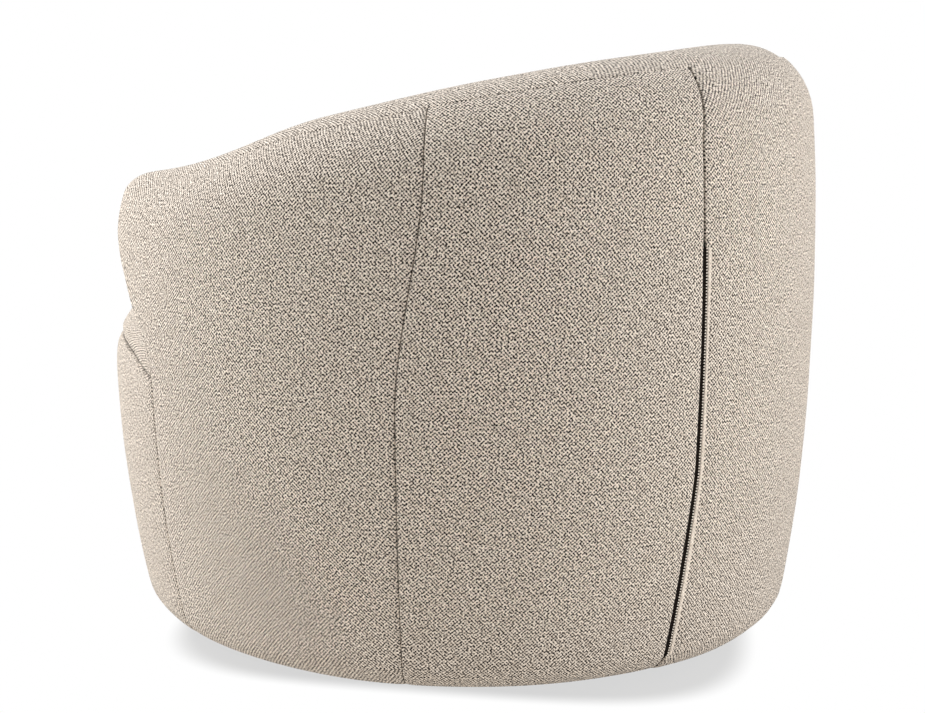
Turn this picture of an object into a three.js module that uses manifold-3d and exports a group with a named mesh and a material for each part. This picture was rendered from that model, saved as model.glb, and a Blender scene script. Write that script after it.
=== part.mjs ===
// Swivel barrel chair: a round upholstered body that turns on a hidden ball-bearing base.
// Millimetres, +Z up. The sitter faces -Y, the back is at +Y, and the origin is on the floor
// under the swivel axis. A plan angle is counted from the middle of the back, positive towards +X.

import * as THREE from "three";
import { mergeVertices } from "three/addons/utils/BufferGeometryUtils.js";
import Module from "manifold-3d";

const wasm = await Module();
wasm.setup();

// Driving dimensions

const body = {
  halfWidth: 430,
  halfDepth: 453,
  height: 737,
  floorGap: 25,
  widestHeight: 430,
  sideTaper: 28, // how far the foot of the wall stands inside its widest line
  frontTaper: 11, // added to the taper in the middle of the front
  topLean: 17.5, // how far the wall leans in on its way to the rim
  bottomRound: 35.5,
};
const taperPower = 2.42;
const leanPower = 2;

const rim = { noseFall: 10, dip: 8.5, aboveCushion: 105 };
const rimDropShare = 0.22; // fall from the back to the arms, of the height
const rimPower = 1.46;
const roll = { outerWidth: 80, outerHeight: 86.5, innerHeight: 90, fullThickness: 115, least: 12 };
const rollOuterShare = 0.55;

// The hollow between the arms, where the sitter is
const roomShares = { halfWidth: 0.6093, backDepth: 0.4194, noseDepth: 0.8278 }; // of the body's
const room = {
  halfWidth: body.halfWidth * roomShares.halfWidth,
  topFlare: 12,
  backDepth: body.halfDepth * roomShares.backDepth,
  recline: 80,
  noseNarrowing: 53, // how far each arm comes in at the nose
  noseDepth: body.halfDepth * roomShares.noseDepth,
  reclineStart: 400,
};
const roomPower = 2.5;

const cloth = { thickness: 2.5, seamGap: 0.25, layerGap: 0.4, hem: 32, zipSlot: 4.2 };
const padding = { outer: 7, frameGap: 2.5, foam: 65, cutDepth: 4.5, noseEnd: 18, lap: 0.6 };
const foamShare = 0.4;
const fit = 0.3; // clearance between pieces that touch

const frame = { thickness: 25, ply: 18, postWidth: 52, seatHeight: 288, seatMargin: 30, relief: 2 };
const hoop = { width: 60 };
const board = { width: 62, inside: 3 };

const cushion = {
  crownHeight: 458,
  edgeHeight: 390,
  tuckHeight: 330,
  cornerSeam: 351,
  cornerGap: 1.5,
  seamGap: 1.2,
  frontSeamRise: 37,
  clearance: 0.5,
  seamTurn: 4,
  shoulderTurn: 2, // degrees
};
const deck = { pad: 9, webbing: 2, strapWidth: 50, strapPitch: 82, strapLap: 24 };

const zipTopShare = 0.695; // of the height
const zip = { top: body.height * zipTopShare, foot: 60, taper: 14, coilDepth: 1.9, recess: 0.5 };

const swivel = {
  ringRadius: 280,
  ringTube: 9.5,
  glideRadius: 13,
  glideHeight: 5,
  barWidth: 38,
  barThickness: 6,
  ballRadius: 4,
  ballCircle: 82,
  raceDepth: 1.5,
  raceWall: 1.5,
  lowerRadius: 95,
  upperRadius: 122,
  cageHalfWidth: 9,
  cageThickness: 2,
  pivotBore: 6,
  pivotRadius: 9.5,
  pivotFlange: 15,
  flangeThickness: 2.2,
  runningGap: 0.4,
};
const bolt = { shank: 3, head: 6.5, headHeight: 3, spacing: 76, grip: 17, holeGap: 0.4 };
const dust = { thickness: 1, hole: 134 };
const cutter = { overrun: 6 };

// Plan angles, in degrees

const angles = {
  zipSeam: 44.5,
  sideSeam: 88,
  frontSeam: 133.5,
  nose: 149,
  noseRound: 143,
  rimEnd: 150,
  rimDip: 128,
  rimDipHalf: 24,
  frameEnd: 131.5,
  seamRise: 22,
};
const postAngles = [-128, -78, -26, 26, 78, 128];
const ballCount = 6;

// How each outer seam strays from its plan angle: a heading, and the heights it runs between

const drift = {
  sideTop: -3,
  sideFoot: 1,
  sideFrom: 335,
  sideTo: 590,
  zipTop: -1.7,
  zipFoot: 2.3,
  zipFootBelow: 260,
  zipFootSpan: 200,
  zipTopAbove: 620,
  zipTopSpan: 70,
};

// Where the cushion's corner and the arm's nose end, as plan angles. The corner's heights are
// shares of the way up the cushion, and the nose's of the way from the cushion's edge to the rim.

const cushionCorner = [
  { share: -0.05, angle: 133.9 },
  { share: 0.12, angle: 134.3 },
  { share: 0.44, angle: 136.6 },
  { share: 0.65, angle: 139.2 },
  { share: 0.88, angle: 143 },
];
const noseLine = [
  { share: 0.2, angle: 143 },
  { share: 0.39, angle: 145 },
  { share: 0.545, angle: 147.8 },
  { share: 0.685, angle: 149 },
];

const finishes = {
  tweed: { color: 0xb3a797, roughness: 0.95, metalness: 0 },
  foam: { color: 0xe9dcb0, roughness: 0.9, metalness: 0 },
  felt: { color: 0xd9d6cc, roughness: 0.95, metalness: 0 },
  plywood: { color: 0xc8a877, roughness: 0.65, metalness: 0 },
  fibreboard: { color: 0x9a7a55, roughness: 0.85, metalness: 0 },
  webbing: { color: 0x54483c, roughness: 0.9, metalness: 0 },
  lining: { color: 0x26262a, roughness: 0.9, metalness: 0 },
  zip: { color: 0x6b6258, roughness: 0.6, metalness: 0 },
  blackSteel: { color: 0x232426, roughness: 0.45, metalness: 0.3 },
  zincSteel: { color: 0xa7aaad, roughness: 0.35, metalness: 0.9 },
  ballSteel: { color: 0xc9ccd0, roughness: 0.15, metalness: 1 },
  nylon: { color: 0x2b2b2b, roughness: 0.6, metalness: 0 },
};

// Small helpers

const toRadians = Math.PI / 180;
const lerp = THREE.MathUtils.lerp;
const clamp01 = (x) => THREE.MathUtils.clamp(x, 0, 1);
const smooth = (x) => THREE.MathUtils.smoothstep(x, 0, 1);
const spread = (from, to, steps) =>
  Array.from({ length: steps + 1 }, (_, i) => lerp(from, to, i / steps));

// The angle on a line of knots at a share of its height, level beyond its ends.
function follow(line, share) {
  const after = line.findIndex((knot) => knot.share > share);
  if (after === 0) return line[0].angle;
  if (after < 0) return line.at(-1).angle;
  const [a, b] = [line[after - 1], line[after]];
  return lerp(a.angle, b.angle, (share - a.share) / (b.share - a.share));
}

// A plan angle between -180 and 180.
function turned(angle) {
  const round = ((angle % 360) + 360) % 360;
  return round > 180 ? round - 360 : round;
}

// The outer form

// Distance from the swivel axis to the widest line of the body.
function planRadius(angle) {
  const a = angle * toRadians;
  return 1 / Math.hypot(Math.sin(a) / body.halfWidth, Math.cos(a) / body.halfDepth);
}

// Height of the rim, which falls from the back to the arms, though never down to the cushion. It
// dips on top of each arm and rounds down at the noses.
function rimHeight(angle) {
  const far = Math.abs(angle);
  const most = body.height - cushion.crownHeight - rim.aboveCushion;
  const drop = Math.min(body.height * rimDropShare, most);
  const fall = drop * (Math.min(far, angles.rimEnd) / angles.rimEnd) ** rimPower;
  const nearDip = clamp01(1 - Math.abs(far - angles.rimDip) / angles.rimDipHalf);
  const dip = rim.dip * Math.sin((nearDip * Math.PI) / 2) ** 2;
  const nose = clamp01((far - angles.noseRound) / (angles.nose - angles.noseRound));
  return body.height - fall - dip - rim.noseFall * nose ** 2;
}

// How far the wall stands inside its widest line at a height.
function lean(angle, z) {
  const low = clamp01((body.widestHeight - z) / (body.widestHeight - body.floorGap));
  const high = clamp01((z - body.widestHeight) / (rimHeight(angle) - body.widestHeight));
  const frontShare = (1 - Math.cos(angle * toRadians)) / 2;
  const taper = body.sideTaper + body.frontTaper * frontShare;
  return taper * low ** taperPower + body.topLean * high ** leanPower;
}

// Radius of the outer face, with its rounded foot.
function outerRadius(angle, z) {
  const foot = clamp01((body.floorGap + body.bottomRound - z) / body.bottomRound);
  const round = body.bottomRound * (1 - Math.sqrt(1 - foot ** 2));
  return planRadius(angle) - lean(angle, z) - round;
}

// Radius of the room's side: a rounded back, and arms that come in a little towards the noses.
function roomRadius(angle, riseShare) {
  const a = Math.abs(angle) * toRadians;
  const wide = room.halfWidth + room.topFlare * riseShare;
  const deep = room.backDepth + room.recline * riseShare;
  if (Math.cos(a) > 0) {
    const across = (Math.sin(a) / wide) ** roomPower;
    return (across + (Math.cos(a) / deep) ** roomPower) ** (-1 / roomPower);
  }
  const side = lerp(room.halfWidth, wide, Math.sin(a) ** 4);
  const bend = (4 * side * room.noseNarrowing * Math.cos(a) ** 2) / room.noseDepth ** 2;
  return (2 * side) / (Math.sin(a) + Math.sqrt(Math.sin(a) ** 2 + bend));
}

// How far a seam strays at a height, spread evenly between the seams.
function seamShift(angle, z) {
  const far = Math.abs(angle);
  const zipFoot = clamp01((drift.zipFootBelow - z) / drift.zipFootSpan);
  const zipTop = clamp01((z - drift.zipTopAbove) / drift.zipTopSpan);
  const zipShift = drift.zipFoot * zipFoot + drift.zipTop * zipTop;
  const sideUp = smooth((z - drift.sideFrom) / (drift.sideTo - drift.sideFrom));
  const sideShift = lerp(drift.sideFoot, drift.sideTop, sideUp);
  const stops = [
    [0, 0],
    [angles.zipSeam, zipShift],
    [angles.sideSeam, sideShift],
    [angles.frontSeam, 0],
  ];
  for (let i = 1; i < stops.length; i++) {
    const [a, b] = [stops[i - 1], stops[i]];
    if (far <= b[0]) return lerp(a[1], b[1], (far - a[0]) / (b[0] - a[0]));
  }
  return 0;
}

// A section's point in space. Its level, not its own height, sets how far it strays.
function place(angle, point, sideways = 0) {
  const signed = turned(angle);
  const far = Math.abs(signed) + seamShift(signed, point.level ?? point.z);
  const side = signed < 0 ? -1 : 1;
  const a = side * far * toRadians + sideways / point.r;
  return new THREE.Vector3(point.r * Math.sin(a), point.r * Math.cos(a), point.z);
}

// Sections of the wall

const bottomStops = spread(0, 90, 3);
const outerRollStops = [26, 52];
const topRollStops = [71, 90];
const innerRollStops = [58, 28, 0];
const faceShares = [0.25, 0.5, 0.75, 1];
const innerFaceShares = [0.35, 0.7, 1];

// Places in a wall section's list of points
const mark = { hem: 0, foot: bottomStops.length };
mark.wallTop = mark.foot + faceShares.length;
mark.rollStart = mark.wallTop + 1;
mark.seamBelow = mark.rollStart + 1;
mark.seamAbove = mark.seamBelow + 1;
mark.crest = mark.seamAbove + topRollStops.length;
mark.innerRoll = mark.crest + innerRollStops.length;

// The sizes of the rim's roll at a plan angle, slimmer where the arm narrows to its nose.
function rollAt(angle) {
  const top = rimHeight(angle);
  const outerTop = planRadius(angle) - body.topLean;
  const inner = Math.min(roomRadius(angle, 1), outerTop - roll.least);
  const thickness = outerTop - inner;
  const size = clamp01(thickness / roll.fullThickness);
  return {
    top,
    inner,
    thickness,
    outerWidth: Math.min(roll.outerWidth, thickness * rollOuterShare),
    outerHeight: roll.outerHeight * size,
    innerHeight: roll.innerHeight * size,
  };
}

// The rim's roll from its outer side over the top to the room.
function rollPoints(angle) {
  const r = rollAt(angle);
  const crest = { r: planRadius(angle) - body.topLean - r.outerWidth, z: r.top };
  const outer = (stop, slip = 0) => {
    const a = stop * toRadians + slip / r.outerWidth;
    const z = r.top - r.outerHeight * (1 - Math.sin(a));
    return { r: planRadius(angle) - lean(angle, z) - r.outerWidth * (1 - Math.cos(a)), z };
  };
  const inner = (stop) => {
    const a = stop * toRadians;
    const z = r.top - r.innerHeight * (1 - Math.sin(a));
    return { r: r.inner + (crest.r - r.inner) * (1 - Math.cos(a)), z };
  };
  const [start, seam] = outerRollStops;
  return [
    outer(start),
    outer(seam, -cloth.seamGap),
    outer(seam, cloth.seamGap),
    ...topRollStops.map((stop) => outer(stop)),
    ...innerRollStops.map(inner),
  ];
}

// The room's side from the roll down to a height.
function innerFacePoints(angle, downTo) {
  const r = rollAt(angle);
  const from = r.top - r.innerHeight;
  return innerFaceShares.map((share) => {
    const z = lerp(from, downTo, share);
    const rise = clamp01((z - room.reclineStart) / (from - room.reclineStart));
    return { r: Math.min(roomRadius(angle, rise), outerRadius(angle, z) - roll.least), z };
  });
}

// The angle at which a wall section is measured: where its top ends up once it has strayed.
const measuredAngle = (angle) => {
  const signed = Math.abs(turned(angle));
  return signed + seamShift(signed, rimHeight(signed));
};

// Outside, a point strays by its own height. From the crest inwards it strays as the rim does.
const withLevels = (points, top, crest = points.length) =>
  points.map((p, i) => ({ ...p, level: i < crest ? p.z : top }));

// The whole wall: hem, rounded foot, outer face, roll and room side.
function wallSection(angle) {
  const at = measuredAngle(angle);
  const foot = bottomStops.map((stop) => {
    const a = stop * toRadians;
    const z = body.floorGap + body.bottomRound * (1 - Math.cos(a));
    return { r: outerRadius(at, z), z };
  });
  const hem = { r: foot[0].r - cloth.hem, z: body.floorGap };
  const r = rollAt(at);
  const [faceFoot, faceTop] = [body.floorGap + body.bottomRound, r.top - r.outerHeight];
  const face = faceShares.map((share) => {
    const z = lerp(faceFoot, faceTop, share);
    return { r: outerRadius(at, z), z };
  });
  const inner = innerFacePoints(at, frame.seatHeight + fit);
  return withLevels([hem, ...foot, ...face, ...rollPoints(at), ...inner], r.top, mark.crest);
}

// The front below the cushion, from the hem up to the cushion's seam.
function borderSection(angle) {
  const signed = Math.abs(turned(angle));
  const foot = wallSection(angle).slice(mark.hem, mark.foot + 1);
  const face = faceShares.map((share) => {
    const z = lerp(body.floorGap + body.bottomRound, frontSeamHeight(signed), share);
    return { r: outerRadius(signed, z), z };
  });
  return withLevels([...foot, ...face]);
}

// The arm's nose, from the cushion's corner up over the roll and down again. Its faces end short
// of its top, so each point carries the plan angle where it lies.
function noseSection(angle, drop) {
  const at = Math.abs(angle);
  const share = (at - angles.frontSeam) / (angles.nose - angles.frontSeam);
  const r = rollAt(at);
  const foot = cushion.cornerSeam + cushion.cornerGap - drop;
  const faces = (from) =>
    [0, ...faceShares].map((step) => {
      const z = lerp(from, foot, step);
      return { z, angle: lerp(angles.frontSeam, noseEnd(z), share) };
    });
  const outer = faces(r.top - r.outerHeight).map((p) => ({ ...p, r: outerRadius(p.angle, p.z) }));
  const innerTop = r.top - r.innerHeight;
  const inner = faces(innerTop).map((p) => {
    const rise = clamp01((p.z - room.reclineStart) / (innerTop - room.reclineStart));
    return { ...p, r: Math.min(roomRadius(p.angle, rise), outerRadius(p.angle, p.z) - roll.least) };
  });
  const over = rollPoints(at).slice(0, -1).map((p) => ({ ...p, angle: at }));
  return withLevels([...outer.reverse(), ...over, ...inner]);
}

// Plan angle where the arm's nose ends at a height.
function noseEnd(z) {
  const rise = rimHeight(angles.nose) - cushion.edgeHeight;
  return follow(noseLine, (z - cushion.edgeHeight) / rise);
}

// Height of the seam between the front border and the cushion.
function frontSeamHeight(angle) {
  const share = clamp01((Math.abs(angle) - angles.frontSeam) / angles.seamRise);
  return cushion.cornerSeam + cushion.frontSeamRise * Math.sin((share * Math.PI) / 2);
}

// The nearest point of a line that isn't the other edge of the same seam.
function neighbour(points, i, way) {
  const near = (j) => Math.hypot(points[j].r - points[i].r, points[j].z - points[i].z);
  const next = i + way;
  if (next < 0 || next >= points.length) return points[i];
  const twin = near(next) < 3 * cloth.seamGap && points[next + way];
  return twin ? points[next + way] : points[next];
}

// A section moved inwards, square to itself.
function inset(points, depth) {
  return points.map((p, i) => {
    const [before, after] = [neighbour(points, i, -1), neighbour(points, i, 1)];
    const [dr, dz] = [after.r - before.r, after.z - before.z];
    const length = Math.hypot(dr, dz);
    return { ...p, r: p.r - (depth * dz) / length, z: p.z + (depth * dr) / length };
  });
}

// A closed section between two depths of a stretch of a line.
const layer = (line, near, far, first = 0, last = line.length - 1) => [
  ...inset(line, near).slice(first, last + 1),
  ...inset(line, far).slice(first, last + 1).reverse(),
];

// The point of a line at a height.
function atHeight(points, z) {
  const after = points.findIndex((p, i) => i > 0 && p.z >= z);
  const [a, b] = [points[after - 1], points[after]];
  const share = (z - a.z) / (b.z - a.z);
  return { r: lerp(a.r, b.r, share), z, level: z };
}

// Solids

const weldDistance = 1e-3;

// A solid whose sections all have the same number of points. It is capped unless it is a ring.
// Each face is split from its low corner to the next section's high one, so that layers nest.
function sweep(rows, ring = false) {
  const count = rows[0].length;
  const index = [];
  const spans = ring ? rows.length : rows.length - 1;
  for (let i = 0; i < spans; i++)
    for (let j = 0; j < count; j++) {
      const [a, b] = [i * count + j, i * count + ((j + 1) % count)];
      const next = ((i + 1) % rows.length) * count;
      const [c, d] = [next + j, next + ((j + 1) % count)];
      const rising = goesUp(rows[i][j], rows[i][(j + 1) % count]);
      if (rising) index.push(a, c, d, a, d, b);
      else index.push(a, c, b, b, c, d);
    }
  if (!ring) {
    index.push(...cap(rows[0], 0, true));
    index.push(...cap(rows.at(-1), (rows.length - 1) * count, false));
  }
  return solid(rows.flat(), index);
}

// Whether a section's edge goes up, or outwards where it is level.
function goesUp(from, to) {
  if (Math.abs(from.z - to.z) > weldDistance) return from.z < to.z;
  return Math.hypot(from.x, from.y) < Math.hypot(to.x, to.y);
}

// The triangles that close one section, all facing one way. A point on a straight run is eased
// inwards while the triangles are chosen, so that none of them is flat.
const straightShare = 1e-3;
const easeShare = 2e-3;
function cap(row, first, flip) {
  const outline = row.map((p) => new THREE.Vector2(Math.hypot(p.x, p.y), p.z));
  const whole = Math.sign(THREE.ShapeUtils.area(outline));
  const eased = outline.map((p, i) => {
    const before = outline.at(i - 1);
    const way = outline[(i + 1) % outline.length].clone().sub(before);
    const bend = way.cross(p.clone().sub(before)) / way.lengthSq();
    if (Math.abs(bend) > straightShare) return p;
    return new THREE.Vector2(-way.y, way.x).multiplyScalar(whole * easeShare).add(p);
  });
  const triangles = THREE.ShapeUtils.triangulateShape(eased, []);
  const area = (triangle) => THREE.ShapeUtils.area(triangle.map((i) => eased[i]));
  const turn = Math.sign(triangles.reduce((sum, triangle) => sum + area(triangle), 0));
  return triangles.flatMap((triangle) => {
    const [a, b, c] = triangle.map((i) => i + first);
    return (turn === whole) === flip ? [a, b, c] : [a, c, b];
  });
}

// A closed surface as a geometry with its faces pointing out.
function solid(points, index) {
  let volume = 0;
  for (let i = 0; i < index.length; i += 3) {
    const [a, b, c] = [points[index[i]], points[index[i + 1]], points[index[i + 2]]];
    volume += a.dot(new THREE.Vector3().crossVectors(b, c));
  }
  if (volume < 0)
    for (let i = 0; i < index.length; i += 3)
      [index[i + 1], index[i + 2]] = [index[i + 2], index[i + 1]];
  const geometry = new THREE.BufferGeometry().setFromPoints(points);
  return geometry.setIndex(index);
}

const noGap = () => 0;
const plainSeam = () => cloth.seamGap;

// Half the opening of the zip's seam at a height.
function zipSeamGap(z) {
  const below = clamp01((zip.top - z) / zip.taper);
  const above = clamp01((z - zip.foot + zip.taper) / zip.taper);
  return lerp(cloth.seamGap, cloth.zipSlot / 2, Math.min(below, above));
}

// A solid that follows the wall through a list of plan angles.
function along(stations, section, gapStart = noGap, gapEnd = noGap) {
  const last = stations.length - 1;
  const rows = stations.map((angle, i) => {
    const gap = i === 0 ? gapStart : i === last ? gapEnd : noGap;
    const way = i === 0 ? 1 : -1;
    return section(angle).map((p) => place(angle, p, way * gap(p.level ?? p.z)));
  });
  return sweep(rows);
}

const ringStops = spread(0, 360, 40).slice(0, -1);
const ring = (section) => sweep(ringStops.map((a) => section(a).map((p) => place(a, p))), true);

// A box in a section: two radii and two heights.
const boxSection = (inner, outer, low, high) => [
  { r: outer, z: low },
  { r: outer, z: high },
  { r: inner, z: high },
  { r: inner, z: low },
];

// A level slab with a free outline.
function slab(stops, radius, low, high) {
  const points = [new THREE.Vector3(0, 0, low), new THREE.Vector3(0, 0, high)];
  const index = [];
  stops.forEach((angle) => {
    const r = radius(angle);
    points.push(place(angle, { r, z: low }), place(angle, { r, z: high }));
  });
  stops.forEach((_, i) => {
    const [a, b] = [2 + 2 * i, 2 + 2 * ((i + 1) % stops.length)];
    index.push(0, a, b, 1, b + 1, a + 1, a, a + 1, b, b, a + 1, b + 1);
  });
  return solid(points, index);
}

function box(x, y, z, width, depth, height) {
  const shape = new THREE.BoxGeometry(width, depth, height);
  return shape.translate(x, y, z + height / 2);
}

function rod(x, y, z, radius, height, sides) {
  const shape = new THREE.CylinderGeometry(radius, radius, height, sides);
  return shape.rotateX(Math.PI / 2).translate(x, y, z + height / 2);
}

// A turned piece: its profile is a list of [radius, height].
function turnedPiece(profile, segments) {
  const points = profile.map(([r, z]) => new THREE.Vector2(r, z));
  if (THREE.ShapeUtils.area(points) < 0) points.reverse();
  const hollow = profile.every(([r]) => r > 0);
  if (hollow) points.push(points[0].clone());
  return new THREE.LatheGeometry(points, segments).rotateX(Math.PI / 2);
}

// Cutting and joining

function toManifold(geometry) {
  const bare = geometry.clone();
  for (const name of Object.keys(bare.attributes))
    if (name !== "position") bare.deleteAttribute(name);
  const merged = mergeVertices(bare, weldDistance);
  return new wasm.Manifold(
    new wasm.Mesh({
      numProp: 3,
      vertProperties: new Float32Array(merged.attributes.position.array),
      triVerts: new Uint32Array(merged.index.array),
    }),
  );
}

function fromManifold(shape) {
  const mesh = shape.getMesh();
  const geometry = new THREE.BufferGeometry();
  const corners = new THREE.BufferAttribute(new Float32Array(mesh.vertProperties), 3);
  geometry.setAttribute("position", corners);
  return geometry.setIndex(Array.from(mesh.triVerts));
}

const cut = (from, ...tools) =>
  fromManifold(tools.reduce((left, tool) => left.subtract(toManifold(tool)), toManifold(from)));
const join = (first, ...rest) =>
  fromManifold(rest.reduce((all, next) => all.add(toManifold(next)), toManifold(first)));
const common = (a, b) => fromManifold(toManifold(a).intersect(toManifold(b)));

// Depths of the wall's layers, from its outer face

const padStart = cloth.thickness + cloth.layerGap;
const padEnd = padStart + padding.outer;
const frameStart = padEnd + padding.frameGap;
const frameEnd = frameStart + frame.thickness;
const hoopLow = body.floorGap + cloth.thickness + fit + dust.thickness + fit;
const hoopHigh = hoopLow + frame.ply;
const seatLow = frame.seatHeight - frame.ply;

const chair = new THREE.Group();
const materials = Object.fromEntries(
  Object.entries(finishes).map(([name, look]) => [name, new THREE.MeshStandardMaterial(look)]),
);

function add(name, geometry, finish) {
  const mesh = new THREE.Mesh(geometry, materials[finish]);
  mesh.name = name;
  if (!geometry.attributes.normal) geometry.computeVertexNormals();
  chair.add(mesh);
}

const sides = [
  { name: "left", sign: 1 },
  { name: "right", sign: -1 },
];

// The stations that every layer of the wall shares, so that the layers' faces stay parallel

const panelSteps = 5;
const halfWall = [
  ...spread(0, angles.zipSeam, panelSteps),
  ...spread(angles.zipSeam, angles.sideSeam, panelSteps).slice(1),
  ...spread(angles.sideSeam, angles.frontSeam, panelSteps).slice(1),
];
const wallStops = [...halfWall.slice(1).reverse().map((a) => -a), ...halfWall];
const insideSeam = halfWall[panelSteps + 2];
// The shared stations on one side of the chair, always in rising order.
const onSide = (sign, from, to) => {
  const [low, high] = sign > 0 ? [from, to] : [-to, -from];
  return wallStops.filter((a) => a >= low && a <= high);
};
const frontStops = spread(angles.frontSeam, 360 - angles.frontSeam, 2 * panelSteps);

// Outer covers and the padding behind them

function outerCovers() {
  const section = (a) => layer(wallSection(a), 0, cloth.thickness, mark.hem, mark.seamBelow);
  const { zipSeam, sideSeam, frontSeam } = angles;
  const back = onSide(1, -zipSeam, zipSeam);
  add("outer_back_cover", along(back, section, zipSeamGap, zipSeamGap), "tweed");
  for (const { name, sign } of sides) {
    const rear = onSide(sign, zipSeam, sideSeam);
    const gaps = sign > 0 ? [zipSeamGap, plainSeam] : [plainSeam, zipSeamGap];
    add(`rear_side_cover_${name}`, along(rear, section, ...gaps), "tweed");
    const front = onSide(sign, sideSeam, frontSeam);
    add(`front_side_cover_${name}`, along(front, section, plainSeam, plainSeam), "tweed");
  }
}

function frontBorder() {
  const cover = (a) => layer(borderSection(a), 0, cloth.thickness);
  add("front_border_cover", along(frontStops, cover, plainSeam, plainSeam), "tweed");
  const pad = (a) => {
    const line = borderSection(a);
    line[line.length - 1].z -= cloth.layerGap;
    return layer(line, padStart, padEnd, mark.foot);
  };
  add("front_pad", along(frontStops, pad, plainSeam, plainSeam), "felt");
}

function outerPads() {
  const section = (a) => layer(wallSection(a), padStart, padEnd, mark.foot, mark.rollStart);
  const { zipSeam, frontSeam } = angles;
  const back = onSide(1, -zipSeam, zipSeam);
  add("outer_back_pad", along(back, section, plainSeam, plainSeam), "felt");
  for (const { name, sign } of sides) {
    const stops = onSide(sign, zipSeam, frontSeam);
    add(`side_pad_${name}`, along(stops, section, plainSeam, plainSeam), "felt");
  }
}

// The closing zips stand in the open slots of the rear seams.
function zips() {
  const halfWidth = cloth.zipSlot / 2 - cloth.layerGap;
  for (const { name, sign } of sides) {
    const middle = sign * angles.zipSeam;
    const wall = wallSection(middle).slice(mark.foot, mark.rollStart);
    const high = zip.top - 2 * zip.taper;
    const line = [...wall.filter((p) => p.z > zip.foot && p.z < high), atHeight(wall, high)];
    const section = layer(line, zip.recess, zip.recess + zip.coilDepth);
    const rows = [-halfWidth, halfWidth].map((x) => section.map((p) => place(middle, p, x)));
    add(`zip_${name}`, sweep(rows), "zip");
  }
}

// Inside padding and covers

const insideBackStops = onSide(1, -insideSeam, insideSeam);
const armStops = (sign) => onSide(sign, insideSeam, angles.frontSeam);

function insideCovers() {
  const section = (a) => layer(wallSection(a), 0, cloth.thickness, mark.seamAbove);
  add("inside_back_cover", along(insideBackStops, section, plainSeam, plainSeam), "tweed");
  for (const { name, sign } of sides)
    add(`inside_arm_cover_${name}`, along(armStops(sign), section, plainSeam, plainSeam), "tweed");
}

const foamDepth = (angle) =>
  Math.min(padding.foam, rollAt(measuredAngle(angle)).thickness * foamShare);

// Underside of the plywood plate that the roll is built on.
function plateLow(angle) {
  const r = rollAt(measuredAngle(angle));
  return r.top - Math.max(r.outerHeight, r.innerHeight) + fit;
}

// The line behind the inside padding: from the plate's inner edge down to the seat hoop.
function backLine(angle, behind = 0) {
  const wall = wallSection(angle);
  const r = rollAt(measuredAngle(angle));
  const deep = inset(wall, foamDepth(angle)).slice(mark.innerRoll + 1);
  const head = { r: r.inner + foamDepth(angle), z: plateLow(angle) - fit };
  deep[deep.length - 1].z = frame.seatHeight + fit;
  return [head, ...deep].map((p) => ({ r: p.r + behind, z: p.z, level: r.top }));
}

// The inner face of the outer padding at a height in the roll.
function insidePad(angle, z) {
  const line = inset(wallSection(angle), padEnd).slice(mark.wallTop, mark.crest + 1);
  return atHeight(line, z).r;
}

// The inside padding is a slab that hooks over the plate to the outer seam.
function foamSection(angle) {
  const wall = wallSection(angle);
  const skin = inset(wall, padStart);
  const deep = inset(wall, padEnd + padding.frameGap);
  const lifted = (line) => {
    const [start, next] = [line[mark.rollStart], line[mark.seamBelow]];
    const step = cloth.layerGap / Math.hypot(next.r - start.r, next.z - start.z);
    return { r: lerp(start.r, next.r, step), z: lerp(start.z, next.z, step), level: start.level };
  };
  const back = backLine(angle).reverse();
  const high = plateLow(angle) + frame.ply + fit;
  const level = back[0].level;
  const over = [
    { r: back.at(-1).r, z: high, level },
    { r: insidePad(angle, high) - padding.frameGap, z: high, level },
  ];
  return [lifted(skin), ...skin.slice(mark.seamBelow), ...back, ...over, lifted(deep)];
}

// A short length of the inside padding across the front seam.
function foamBridge(sign) {
  const section = foamSection(angles.frontSeam);
  const rows = [-padding.lap, padding.lap].map((x) =>
    section.map((p) => place(sign * angles.frontSeam, p, x)),
  );
  return sweep(rows);
}

function insideFoam() {
  const back = along(insideBackStops, foamSection, plainSeam, plainSeam);
  add("inside_back_foam", back, "foam");
  for (const { name, sign } of sides) {
    const arm = along(armStops(sign), foamSection, plainSeam, plainSeam);
    const size = { depth: padding.cutDepth, start: cloth.seamGap, end: padding.noseEnd };
    const nose = cut(noseSolid(sign, size), cushionEnvelope());
    add(`arm_foam_${name}`, join(arm, foamBridge(sign), nose), "foam");
  }
}

// The nose of an arm at a depth under its skin. Its start is measured from the front seam, its
// end back from the tip, and its drop down from its foot.
const noseShares = [0.22, 0.44, 0.64, 0.82];
function noseSolid(sign, { depth = 0, start = 0, end = 0, drop = 0 }) {
  const { frontSeam, nose } = angles;
  const asAngle = (length) => length / body.halfDepth / toRadians;
  const middle = noseShares.map((share) => lerp(frontSeam, nose, share));
  const stops = [frontSeam + asAngle(start), ...middle, nose - asAngle(end)];
  const rows = stops.map((stop) =>
    inset(noseSection(stop, drop), depth).map((p) => {
      const a = sign * p.angle * toRadians;
      return new THREE.Vector3(p.r * Math.sin(a), p.r * Math.cos(a), p.z);
    }),
  );
  return sweep(sign > 0 ? rows : rows.reverse());
}

function armFronts() {
  for (const { name, sign } of sides) {
    const skin = noseSolid(sign, { start: cloth.seamGap });
    const hollow = noseSolid(sign, {
      depth: cloth.thickness,
      start: -padding.lap,
      end: cloth.thickness,
      drop: cutter.overrun,
    });
    add(`arm_front_cover_${name}`, cut(skin, hollow, cushionEnvelope()), "tweed");
  }
}

// The cushion

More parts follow.
